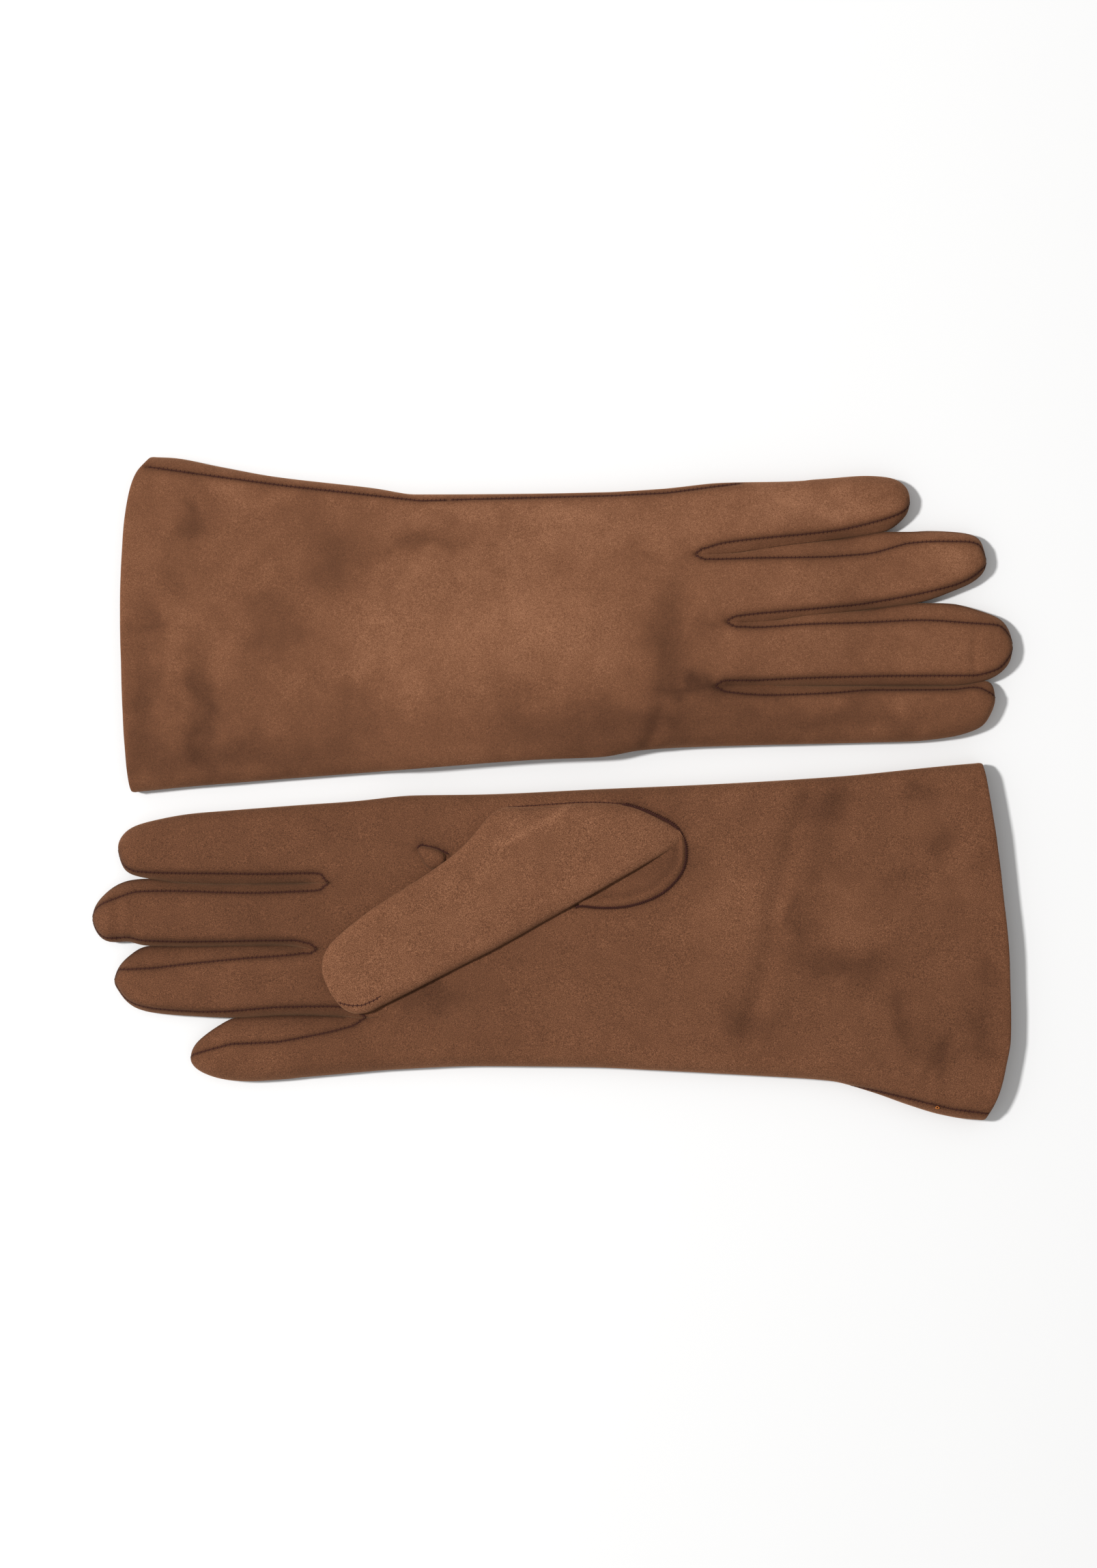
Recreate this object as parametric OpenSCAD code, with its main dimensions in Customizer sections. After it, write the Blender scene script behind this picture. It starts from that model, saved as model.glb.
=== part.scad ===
// A pair of long suede dress gloves, lying flat side by side.
// The left glove lies back up with its fingers to +X. The right glove lies palm up with its
// fingers to -X and its thumb folded across the palm.
// Both gloves are drawn in one local plan, [u, v]: u runs from the cuff to the fingertips and
// v from the folded index side to the sewn little finger side. The right glove is then turned
// half a turn about Z.

/* [Leather] */
// Thickness of the suede
skin = 0.9; // [0.7:0.1:1]
// Thickness of the silk lining
silk = 0.4; // [0.3:0.1:0.5]
// Thickness of the turned hem inside the cuff
hem_t = 0.7; // [0.5:0.1:0.8]
// How far the hem is turned in
hem_len = 12; // [8:1:16]
// Width and height of a row of stitches
thread = 0.45; // [0.3:0.05:0.5]

/* [Lay] */
// Height of the hand and gauntlet as they lie
hand_h = 8.4; // [8.2:0.1:9]
// Height of a finger
finger_h = 8; // [7.6:0.1:8.4]
// Height of the folded thumb
thumb_h = 5; // [4.6:0.1:5.2]
// How much the back of the left glove rises over its thumb
back_rise = 3; // [2:0.2:5]

/* [Bends] */
// Where the index, middle and ring fingers bend
knuckle_u = 87; // [86:0.5:89]
// Where the little finger bends
little_knuckle_u = 72; // [71:0.5:74]
// Where the wrist bends
wrist_u = -58; // [-62:1:-56]
// Gap left in front of a bend so that it can turn
bend_gap = 4.6; // [4.5:0.1:5]
// Half of the gap between two fingers
side_gap = 0.4; // [0.35:0.05:0.6]

/* [Hidden] */
LEFT = 0;
RIGHT = 1;
INDEX = 0;
MIDDLE = 1;
RING = 2;
LITTLE = 3;

SUEDE = "#7a5540";
SILK = "#5c4433";
THREAD = "#3a221b";

// Outline of the sewn, little finger side: [u, v], left glove then right glove.
little_edge = [
  [[-141, 116], [-120, 112.9], [-98, 109.3], [-77, 106.9], [-62, 105.2], [-48, 103.1],
   [-26, 103.2], [17, 103.8], [38, 105], [60, 107.2], [70, 107.8], [82, 107.7]],
  [[-151, 116], [-139, 114.4], [-125, 110.8], [-110, 106], [-96, 102.4], [-67, 100.4],
   [-38, 98.8], [-10, 97.6], [26, 97.3], [55, 98.5], [70, 99.5], [84, 100.9]]
];

// Outline of the folded, index side.
index_edge = [
  [[-147, -1.3], [-127, 0.6], [-91, 3.5], [-48, 6.8], [-5, 10], [17, 10.9], [31, 13.3],
   [46, 14.3], [75, 15.2], [110, 16]],
  [[-151, -8.8], [-125, -6.4], [-82, -2.8], [-38, -0.8], [5, 0.8], [26, 2], [48, 2.3],
   [70, 4.4], [91, 5.9], [113, 7.6]]
];

// Curve of the cuff's edge: [v, u].
cuff_edge = [
  [[-2, -147], [1, -148], [15, -149.6], [40, -150.8], [62, -151.3], [87, -150.4], [101, -148.7],
   [109, -146.5], [116, -141]],
  [[-9, -150.6], [6, -153.5], [34, -157.3], [63, -160], [85, -160.5], [99, -158.3],
   [107, -156.2], [116, -151.5]]
];

// Each finger's side towards the index side, [u, v], by glove and finger.
finger_low = [
  [[[75, 15.2], [110, 16], [125, 16.4], [139, 17.9], [147, 19.9], [152, 22.4]],
   [[60, 36], [140, 36], [148, 37], [152, 38.2], [158, 41]],
   [[61, 58.4], [70, 58.2], [90, 60.6], [110, 62.6], [128, 65.1], [140, 69], [149, 73.4]],
   [[50, 81.5], [70, 83.5], [90, 86], [110, 88.8], [117, 90.3], [122, 93]]],
  [[[70, 4.4], [91, 5.9], [127, 8.8], [141, 11.4], [149, 14]],
   [[78, 33], [115, 33.5], [130, 33], [142, 31.6], [150, 32.5], [155, 34.4], [160, 37.5]],
   [[83, 55.5], [95, 54.8], [130, 55.2], [143, 55], [147, 57.3], [152, 60.5]],
   [[66, 80], [90, 79.3], [111, 80.2], [117, 83], [124, 87.6]]]
];

// Each finger's side towards the little finger.
finger_high = [
  [[[60, 36], [140, 36], [148, 37], [152, 37.3]],
   [[61, 58.4], [70, 58.2], [90, 60.6], [110, 62.6], [128, 65.1], [140, 64.8], [150, 62.4],
    [158, 59.4]],
   [[50, 81.5], [70, 83.5], [90, 86], [110, 88.8], [117, 90], [132, 90.3], [142, 89.9],
    [149, 88.5]],
   [[60, 107.2], [82, 107.7], [96, 108.6], [110, 109.6], [120, 109.3]]],
  [[[78, 33], [115, 33.5], [130, 33], [142, 31.6], [149, 30]],
   [[83, 55.5], [95, 54.8], [130, 55.2], [143, 55], [149, 53.7], [154, 54], [158, 53.4]],
   [[66, 80], [90, 79.3], [111, 80.2], [130, 79.5], [140, 78.5], [149, 75.4]],
   [[60, 98.7], [90, 101.3], [104, 102.6], [115, 102], [123, 100.2]]]
];

// How far each finger reaches, and how long its rounded end is.
finger_tip = [[155, 161.2, 152, 125.2], [152.2, 161.2, 153.5, 127]];
tip_round = [[5, 8, 7, 6], [6.5, 7, 8, 7]];

// The folded thumb, in its own plan [p, q]: p runs along it from its bend to its tip.
thumb_low = [[0, -21.5], [14, -17.2], [22, -15.6], [39, -14.7], [52, -14.5], [63, -13.2], [74, -12]];
thumb_high = [[0, 20.9], [25, 20], [47, 18.3], [70, 16.6], [76, 15.6]];
thumb_tip = 82;
thumb_round = 10;
// The foot of the thumb that is sewn into the palm, in the same plan.
foot_low = [[-50, 17], [-48, 11], [-41, 1.4], [-29, -7], [-13.5, -14.7], [0, -21.5]];
foot_high = [[-50, 21.5], [-48, 22], [-20, 21.4], [0, 20.9]];
foot_height = [[-50, 1.2], [-40, 3], [-25, 4.6], [-12, thumb_h]];
foot_flap = [[-47, 21.4], [-44, 30], [-38, 32], [-32, 32.1], [-24, 30.5], [-17, 27.5], [-9, 20.6]];
// The seam round the foot, the hole in the palm under it, and the quirk beside the thumb.
oval_seam = [[-10, -17.4], [-20, -13], [-32, -6.6], [-42, 0.8], [-49, 10.8], [-51.4, 18],
             [-50.6, 24], [-46, 30.4], [-38, 33.2], [-31, 33.3], [-22, 31], [-12, 25.4]];
flap_at = [-36, 22];
hole_at = [-18, 5];
hole_size = [14, 10];
quirk_at = [26, -19];
quirk_shape = [[-6, -0.5], [3.5, -3.2], [5, 0], [0, 2]];
// Where the thumb bends, [u, v], and the direction that it points in, by glove.
thumb_at = [[8, 33], [9, 26]];
thumb_angle = [27, 31];
thumb_gap = 0.3;
thumb_bend_gap = 3;

// Clearances between layers, and where the hand's two open ends lie.
layer_gap = 0.1;
hem_edge = 0.8;
little_front = little_knuckle_u - bend_gap;
knuckle_front = knuckle_u - bend_gap;
gauntlet_front = wrist_u - bend_gap;
ring_edge = 79.2;
palm_under = thumb_h + thumb_gap;

function mix(a, b, t) = a + (b - a) * t;
function smooth(t) = let (c = min(1, max(0, t))) c * c * (3 - 2 * c);
function mean(a) = a * [for (i = a) 1] / len(a);
function turned(p, a) = [p[0] * cos(a) - p[1] * sin(a), p[0] * sin(a) + p[1] * cos(a)];

// How far the left palm is lifted by the thumb and its sewn foot under it, and the left back over
// that.
function thumb_distance(p) =
  let (d = turned(p - thumb_at[LEFT], -thumb_angle[LEFT]), along = min(70, max(-36, d[0])))
  min(norm([d[0] - along, d[1] - 2]), norm(d - flap_at) + 5);
function palm_lift(side, p) =
  side == RIGHT ? 0 : palm_under * (1 - smooth((thumb_distance(p) - 30) / 12));
function back_lift(side, p) =
  side == RIGHT ? 0 : back_rise * (1 - smooth((thumb_distance(p) - 18) / 26));

// A point of a flattened tube's section: e moves the rounded side across, and a is the angle
// round it, where 0 is the high side, 90 the top, 180 the low side and 270 the underside.
function section(lo, hi, r, zc, station) =
  [mix(hi - r, lo + r, station[0]) + r * cos(station[1]), zc + r * sin(station[1])];

// The [e, a] stations of a panel between two seams, of a side strip and of a whole ring.
function top_panel(s_high, s_low, n) = concat(
  [for (k = [0:2]) [0, mix(s_high, 90, k / 2)]],
  [for (k = [1:n]) [k / n, 90]],
  [for (k = [1:2]) [1, mix(90, 180 - s_low, k / 2)]]);
function under_panel(s_high, s_low, n) =
  [for (t = top_panel(s_low, s_high, n)) [1 - t[0], t[1] + 180]];
function side_strip(e, s) = [for (k = [-1:1]) [e, 180 * e + s * k]];
function ring(n) = concat(
  [for (k = [-2:2]) [0, 45 * k]],
  n > 1 ? [for (k = [1:n - 1]) [k / n, 90]] : [],
  [for (k = [-2:2]) [1, 180 + 45 * k]],
  n > 1 ? [for (k = [1:n - 1]) [1 - k / n, 270]] : []);
// The two stations at the edges of a row of stitches at angle a on a side of radius r.
function stitch_row(e, a, r) = let (half = thread / r * 180 / PI / 2) [[e, a - half], [e, a + half]];

// Triangles of one cell, and of a grid of rows and columns whose points start at index o.
function cell(a, b, c, d) = [[a, b, c], [a, c, d]];
function grid_faces(rows, cols, o, flip, wrap = false) = [
  for (i = [0:rows - 2], j = [0:(wrap ? cols - 1 : cols - 2)])
    let (k = (j + 1) % cols, a = o + i * cols + j, b = a + cols, c = o + (i + 1) * cols + k,
         d = c - cols)
    each (flip ? cell(c, b, a, d) : cell(a, b, c, d))
];

// A closed skin between an outer and an inner grid of points.
module slab(outer, inner) {
  rows = len(outer);
  cols = len(outer[0]);
  n = rows * cols;
  last = (rows - 1) * cols;
  polyhedron(
    points = concat([for (r = outer, p = r) p], [for (r = inner, p = r) p]),
    faces = concat(
      grid_faces(rows, cols, 0, false),
      grid_faces(rows, cols, n, true),
      [for (i = [0:rows - 2]) let (a = i * cols, b = a + cols)
         each cell(b, a, n + a, n + b)],
      [for (i = [0:rows - 2]) let (a = i * cols + cols - 1, b = a + cols)
         each cell(a, b, n + b, n + a)],
      [for (j = [0:cols - 2]) each cell(j, j + 1, n + j + 1, n + j)],
      [for (j = [0:cols - 2]) let (a = last + j) each cell(a + 1, a, n + a, n + a + 1)]),
    convexity = 6);
}

// A tube between an outer and an inner set of rings, open at both ends or closed at the last.
module tube(outer, inner, closed) {
  rows = len(outer);
  cols = len(outer[0]);
  n = rows * cols;
  last = (rows - 1) * cols;
  tips = [for (rings = [outer, inner]) [for (k = [0:2]) mean([for (p = rings[rows - 1]) p[k]])]];
  polyhedron(
    points = concat([for (r = outer, p = r) p], [for (r = inner, p = r) p], closed ? tips : []),
    faces = concat(
      grid_faces(rows, cols, 0, false, true),
      grid_faces(rows, cols, n, true, true),
      [for (j = [0:cols - 1]) let (k = (j + 1) % cols) each cell(j, k, n + k, n + j)],
      [for (j = [0:cols - 1]) let (k = (j + 1) % cols, a = last + j, b = last + k)
         each (closed ? [[b, a, 2 * n], [n + a, n + b, 2 * n + 1]]
                      : cell(b, a, n + a, n + b))]),
    convexity = 8);
}

// Turns the right glove half a turn.
module place(side) {
  rotate([0, 0, side == RIGHT ? 180 : 0]) children();
}

// ---- The hand and the gauntlet, in zones that follow one another along u ----

function cuff(side, v) = lookup(v, cuff_edge[side]);
function zone_start(side, zone, v) =
  zone == "gauntlet" ? cuff(side, v)
    : zone == "hem" ? cuff(side, v) + hem_edge
    : zone == "gauntlet_silk" ? cuff(side, v) + hem_len + layer_gap
    : zone == "hand" ? wrist_u
    : little_front;
function zone_finish(side, zone, v) =
  zone == "hem" ? cuff(side, v) + hem_len
    : zone == "hand" ? little_front
    : zone == "finger_roots" ? knuckle_front
    : gauntlet_front;
function zone_u(side, zone, v, f) = mix(zone_start(side, zone, v), zone_finish(side, zone, v), f);

// One row of a zone's skin at share f of its length, w inside the outer face. Every face is lifted
// as the outer face over it is.
function zone_row(side, zone, f, stations, w) =
  let (lo = lookup(zone_u(side, zone, 0, f), index_edge[side]),
       side_v = lookup(zone_u(side, zone, 115, f), little_edge[side]),
       hi = zone == "finger_roots" ? ring_edge : side_v,
       r = hand_h / 2)
  [for (s = stations)
    let (p = section(lo + w, hi - w, r - w, r, s),
         over = section(lo, hi, r, r, s),
         at = [zone_u(side, zone, over[0], f), over[0]],
         lift = mix(palm_lift(side, at), back_lift(side, at), (1 + sin(s[1])) / 2))
    [zone_u(side, zone, p[0], f), p[0], p[1] + lift]];

function zone_grid(side, zone, rows, stations, w) =
  [for (i = [0:rows]) zone_row(side, zone, i / rows, stations, w)];

module zone_panel(side, zone, rows, stations) {
  slab(zone_grid(side, zone, rows, stations, 0), zone_grid(side, zone, rows, stations, skin));
}

module zone_tube(side, zone, rows, across, w, t) {
  tube(zone_grid(side, zone, rows, ring(across), w),
       zone_grid(side, zone, rows, ring(across), w + t), false);
}

// Rows along each zone and columns across it, left glove then right glove.
gauntlet_rows = [7, 7];
hand_rows = [16, 10];
hand_across = [10, 8];

module gauntlet(side) {
  color(SUEDE) place(side)
    for (stations = [top_panel(0, 0, 4), under_panel(0, 0, 4)])
      zone_panel(side, "gauntlet", gauntlet_rows[side], stations);
}

// The hole in the palm that the thumb grows out of.
module thumb_hole(side) {
  thumb_plan(side, side == RIGHT ? hand_h / 2 : 0)
    translate([hole_at[0], hole_at[1], 0])
      linear_extrude(hand_h)
        polygon([for (a = [0:30:330]) [hole_size[0] * cos(a), hole_size[1] * sin(a)]]);
}

module hand(side) {
  n = hand_across[side];
  palm = side == RIGHT ? top_panel(0, 0, n) : under_panel(0, 0, n);
  back = side == RIGHT ? under_panel(0, 0, n) : top_panel(0, 0, n);
  color(SUEDE) {
    difference() {
      place(side) zone_panel(side, "hand", hand_rows[side], palm);
      thumb_hole(side);
    }
    place(side) {
      zone_panel(side, "hand", hand_rows[side], back);
      zone_panel(side, "finger_roots", 1, palm);
      zone_panel(side, "finger_roots", 1, back);
    }
  }
}

module hem_facing(side) {
  color(SUEDE) place(side) zone_tube(side, "hem", 1, 4, skin + layer_gap, hem_t);
}

module gauntlet_lining(side) {
  color(SILK) place(side) zone_tube(side, "gauntlet_silk", 6, 4, skin + layer_gap, silk);
}

module hand_lining(side) {
  color(SILK) {
    difference() {
      place(side) zone_tube(side, "hand", hand_rows[side], hand_across[side], skin + layer_gap, silk);
      thumb_hole(side);
    }
    place(side) zone_tube(side, "finger_roots", 1, hand_across[side], skin + layer_gap, silk);
  }
}

// ---- The fingers ----

function bend_of(finger) = finger == LITTLE ? little_knuckle_u : knuckle_u;

// Rows 0 to straight_rows - 1 lie along a finger, and the rest round off its end.
straight_rows = 5;
cap_turns = [0, 34, 62, 86];
function cap_turn(k, rows) = k < rows ? 0 : cap_turns[k - rows];
// Half the angle of the fine line left between a panel and a fourchette.
seam_join = 1;
// The fourchettes narrow to a point at the fingertip.
function seam_angle(k) = 46 - 40 * cap_turn(k, straight_rows) / 86;

function finger_row(side, finger, k, stations, w) =
  let (tip = finger_tip[side][finger], c = tip_round[side][finger],
       turn = cap_turn(k, straight_rows),
       u = k < straight_rows ? mix(bend_of(finger), tip - c, k / straight_rows)
                             : tip - c + (c - w) * sin(turn),
       at = min(u, tip - 0.6 * c),
       lo = lookup(at, finger_low[side][finger]) + side_gap,
       hi = lookup(at, finger_high[side][finger]) - side_gap,
       mid = (lo + hi) / 2,
       r = (finger_h / 2 - w) * pow(cos(turn), 0.8),
       wide = max(r, ((hi - lo) / 2 - w) * cos(turn)))
  [for (s = stations) let (p = section(mid - wide, mid + wide, r, finger_h / 2, s)) [u, p[0], p[1]]];

function finger_stations(finger, piece, k) =
  let (s = seam_angle(k), s_high = finger == LITTLE ? 0 : s, s_low = finger == INDEX ? 0 : s)
  piece == "top" ? top_panel(s_high, s_low, 1)
    : piece == "under" ? under_panel(s_high, s_low, 1)
    : piece == "high" ? side_strip(0, s - seam_join)
    : piece == "low" ? side_strip(1, s - seam_join)
    : ring(1);

function finger_grid(side, finger, piece, w) =
  [for (k = [0:straight_rows + len(cap_turns) - 1])
    finger_row(side, finger, k, finger_stations(finger, piece, k), w)];

module finger_skin(side, finger, piece) {
  slab(finger_grid(side, finger, piece, 0), finger_grid(side, finger, piece, skin));
}

module stall(side, finger) {
  color(SUEDE) place(side) {
    finger_skin(side, finger, "top");
    finger_skin(side, finger, "under");
  }
}

module fourchette(side, finger, piece) {
  color(SUEDE) place(side) finger_skin(side, finger, piece);
}

module finger_lining(side, finger) {
  w = skin + layer_gap;
  color(SILK) place(side)
    tube(finger_grid(side, finger, "ring", w), finger_grid(side, finger, "ring", w + silk), true);
}

// ---- Stitching, as a narrow ridge along each seam ----

stitch_gap = 0.05;
function finger_seam_grid(side, finger, e, sign, w) =
  [for (k = [0:straight_rows + 2])
    finger_row(side, finger, k,
               stitch_row(e, 180 * e + (1 - 2 * e) * sign * seam_angle(k), finger_h / 2), w)];

module finger_seam(side, finger, e, sign) {
  slab(finger_seam_grid(side, finger, e, sign, -stitch_gap - thread),
       finger_seam_grid(side, finger, e, sign, -stitch_gap));
}

// The outer side of the little finger has one seam, the others have one along each fourchette.
module finger_stitching(side, finger) {
  color(THREAD) place(side) {
    if (finger != LITTLE)
      for (sign = [-1, 1]) finger_seam(side, finger, 0, sign);
    if (finger != INDEX)
      for (sign = [-1, 1]) finger_seam(side, finger, 1, sign);
    if (finger == LITTLE)
      finger_seam(side, finger, 0, 0);
  }
}

// The side seam's angle round the little finger side, along u.
side_seam_angle = [
  [[-150, 76], [-98, 74], [-48, 58], [20, 50], [38, 56], [60, 20], [70, 0]],
  [[-152, 72], [-90, -12], [60, -14], [70, 0]]
];
side_seam_gap = 0.15;

function side_seam_grid(side, zone, rows, w) =
  [for (i = [0:rows])
    let (a = lookup(zone_u(side, zone, 110, i / rows), side_seam_angle[side]))
    zone_row(side, zone, i / rows, stitch_row(0, a, hand_h / 2), w)];

module side_seam(side, zone, rows) {
  color(THREAD) place(side)
    slab(side_seam_grid(side, zone, rows, -side_seam_gap - thread),
         side_seam_grid(side, zone, rows, -side_seam_gap));
}

module gauntlet_stitching(side) {
  side_seam(side, "gauntlet", gauntlet_rows[side]);
}

module hand_stitching(side) {
  side_seam(side, "hand", hand_rows[side]);
  color(THREAD) thumb_plan(side, palm_z(side))
    for (i = [0:len(oval_seam) - 2])
      let (a = oval_seam[i], d = oval_seam[i + 1] - a)
        translate([a[0], a[1], 0])
          rotate([0, 0, atan2(d[1], d[0])])
            translate([layer_gap, -thread / 2, layer_gap])
              cube([norm(d) - layer_gap, thread, thread]);
}

// ---- The thumb ----

// The height of the palm's face, and of the thumb's face next to it.
function palm_z(side) = side == RIGHT ? hand_h : palm_under;
function thumb_z(side) = palm_z(side) + (side == RIGHT ? thumb_gap : -thumb_gap);

// Places a shape drawn in the thumb's plan with its foot at height z, rising off the palm.
module thumb_plan(side, z) {
  place(side)
    translate([thumb_at[side][0], thumb_at[side][1], z])
      rotate([0, 0, thumb_angle[side]])
        mirror([0, 0, side == RIGHT ? 0 : 1]) children();
}

thumb_rows = 6;
function thumb_row(k, stations, w) =
  let (turn = cap_turn(k, thumb_rows),
       p = k < thumb_rows ? mix(0, thumb_tip - thumb_round, k / thumb_rows)
                          : thumb_tip - thumb_round + (thumb_round - w) * sin(turn),
       at = min(p, thumb_tip - 0.6 * thumb_round),
       lo = lookup(at, thumb_low), hi = lookup(at, thumb_high), mid = (lo + hi) / 2,
       wide = ((hi - lo) / 2 - w) * cos(turn),
       r = (thumb_h / 2 - w) * pow(cos(turn), 0.8))
  [for (s = stations) let (q = section(mid - wide, mid + wide, r, thumb_h / 2, s)) [p, q[0], q[1]]];

function thumb_grid(stations, w) =
  [for (k = [0:thumb_rows + len(cap_turns) - 1]) thumb_row(k, stations, w)];

module thumb(side) {
  color(SUEDE) thumb_plan(side, thumb_z(side))
    for (stations = [top_panel(0, 0, 2), under_panel(0, 0, 2)])
      slab(thumb_grid(stations, 0), thumb_grid(stations, skin));
}

module thumb_lining(side) {
  w = skin + layer_gap;
  color(SILK) thumb_plan(side, thumb_z(side))
    tube(thumb_grid(ring(2), w), thumb_grid(ring(2), w + silk), true);
}

// The sewn-in foot: a hood that rises from the oval seam to the thumb's mouth, and a flat flap.
function foot_row(p, w) =
  let (lo = lookup(p, foot_low) + w, hi = lookup(p, foot_high) - w,
       r = min(lookup(p, foot_height) - w, (hi - lo) / 2))
  [for (s = top_panel(0, 0, 2)) let (q = section(lo, hi, r, 0, s)) [p, q[0], q[1]]];

module thumb_base(side) {
  rows = [for (i = [0:8]) mix(-49.5, -thumb_bend_gap, i / 8)];
  color(SUEDE) thumb_plan(side, palm_z(side)) {
    slab([for (p = rows) foot_row(p, 0)], [for (p = rows) foot_row(p, skin)]);
    linear_extrude(skin) polygon(foot_flap);
  }
}

// The little diamond of suede at the front end of the thumb's seam.
module quirk(side) {
  color(SUEDE) thumb_plan(side, palm_z(side))
    translate([quirk_at[0], quirk_at[1], layer_gap])
      linear_extrude(skin) polygon(quirk_shape);
}

gauntlet(LEFT);  // left_gauntlet
hem_facing(LEFT);  // left_hem_facing
hand(LEFT);  // left_hand
thumb_base(LEFT);  // left_thumb_base
quirk(LEFT);  // left_quirk
thumb(LEFT);  // left_thumb
stall(LEFT, INDEX);  // left_index_stall
stall(LEFT, MIDDLE);  // left_middle_stall
stall(LEFT, RING);  // left_ring_stall
stall(LEFT, LITTLE);  // left_little_stall
fourchette(LEFT, INDEX, "high");  // left_index_fourchette
fourchette(LEFT, MIDDLE, "low");  // left_middle_fourchette_index_side
fourchette(LEFT, MIDDLE, "high");  // left_middle_fourchette_ring_side
fourchette(LEFT, RING, "low");  // left_ring_fourchette_middle_side
fourchette(LEFT, RING, "high");  // left_ring_fourchette_little_side
fourchette(LEFT, LITTLE, "low");  // left_little_fourchette
gauntlet_lining(LEFT);  // left_gauntlet_lining
hand_lining(LEFT);  // left_hand_lining
thumb_lining(LEFT);  // left_thumb_lining
finger_lining(LEFT, INDEX);  // left_index_lining
finger_lining(LEFT, MIDDLE);  // left_middle_lining
finger_lining(LEFT, RING);  // left_ring_lining
finger_lining(LEFT, LITTLE);  // left_little_lining
gauntlet_stitching(LEFT);  // left_gauntlet_stitching
hand_stitching(LEFT);  // left_hand_stitching
finger_stitching(LEFT, INDEX);  // left_index_stitching
finger_stitching(LEFT, MIDDLE);  // left_middle_stitching
finger_stitching(LEFT, RING);  // left_ring_stitching
finger_stitching(LEFT, LITTLE);  // left_little_stitching
gauntlet(RIGHT);  // right_gauntlet
hem_facing(RIGHT);  // right_hem_facing
hand(RIGHT);  // right_hand
thumb_base(RIGHT);  // right_thumb_base
quirk(RIGHT);  // right_quirk
thumb(RIGHT);  // right_thumb
stall(RIGHT, INDEX);  // right_index_stall
stall(RIGHT, MIDDLE);  // right_middle_stall
stall(RIGHT, RING);  // right_ring_stall
stall(RIGHT, LITTLE);  // right_little_stall
fourchette(RIGHT, INDEX, "high");  // right_index_fourchette
fourchette(RIGHT, MIDDLE, "low");  // right_middle_fourchette_index_side
fourchette(RIGHT, MIDDLE, "high");  // right_middle_fourchette_ring_side
fourchette(RIGHT, RING, "low");  // right_ring_fourchette_middle_side
fourchette(RIGHT, RING, "high");  // right_ring_fourchette_little_side
fourchette(RIGHT, LITTLE, "low");  // right_little_fourchette
gauntlet_lining(RIGHT);  // right_gauntlet_lining
hand_lining(RIGHT);  // right_hand_lining
thumb_lining(RIGHT);  // right_thumb_lining
finger_lining(RIGHT, INDEX);  // right_index_lining
finger_lining(RIGHT, MIDDLE);  // right_middle_lining
finger_lining(RIGHT, RING);  // right_ring_lining
finger_lining(RIGHT, LITTLE);  // right_little_lining
gauntlet_stitching(RIGHT);  // right_gauntlet_stitching
hand_stitching(RIGHT);  // right_hand_stitching
finger_stitching(RIGHT, INDEX);  // right_index_stitching
finger_stitching(RIGHT, MIDDLE);  // right_middle_stitching
finger_stitching(RIGHT, RING);  // right_ring_stitching
finger_stitching(RIGHT, LITTLE);  // right_little_stitching
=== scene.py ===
"""The looks of a pair of long suede dress gloves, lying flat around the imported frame.

Each glove is laid out in its own plan, in mm: u runs from the cuff to the fingertips and v from the
folded index side to the sewn little finger side. The left glove's plan is the frame's own X and Y,
and the right glove's is turned half a turn. The folded thumb has a plan [p, q] of its own.
"""

import math

import bmesh
import bpy
import numpy as np
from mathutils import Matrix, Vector, noise
from mathutils.bvhtree import BVHTree


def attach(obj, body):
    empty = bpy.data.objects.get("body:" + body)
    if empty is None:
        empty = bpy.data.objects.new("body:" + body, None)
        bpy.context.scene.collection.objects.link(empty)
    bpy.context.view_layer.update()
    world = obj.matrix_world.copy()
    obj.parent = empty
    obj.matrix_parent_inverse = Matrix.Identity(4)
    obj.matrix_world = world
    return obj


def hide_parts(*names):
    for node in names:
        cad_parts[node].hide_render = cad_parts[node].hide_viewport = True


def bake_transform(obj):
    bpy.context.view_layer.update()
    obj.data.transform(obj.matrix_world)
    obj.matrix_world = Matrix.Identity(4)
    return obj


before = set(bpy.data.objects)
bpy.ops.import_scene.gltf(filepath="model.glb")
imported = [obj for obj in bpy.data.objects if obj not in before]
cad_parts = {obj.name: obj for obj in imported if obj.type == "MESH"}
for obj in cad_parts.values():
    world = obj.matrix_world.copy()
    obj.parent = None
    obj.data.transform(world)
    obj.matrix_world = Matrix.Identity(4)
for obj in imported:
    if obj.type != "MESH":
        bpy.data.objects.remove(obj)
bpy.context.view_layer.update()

MM = 0.001
LEFT, RIGHT = "left", "right"
FINGERS = ("index", "middle", "ring", "little")
INDEX, MIDDLE, RING, LITTLE = range(4)

# ---- Layout of each glove, in mm ----

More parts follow.
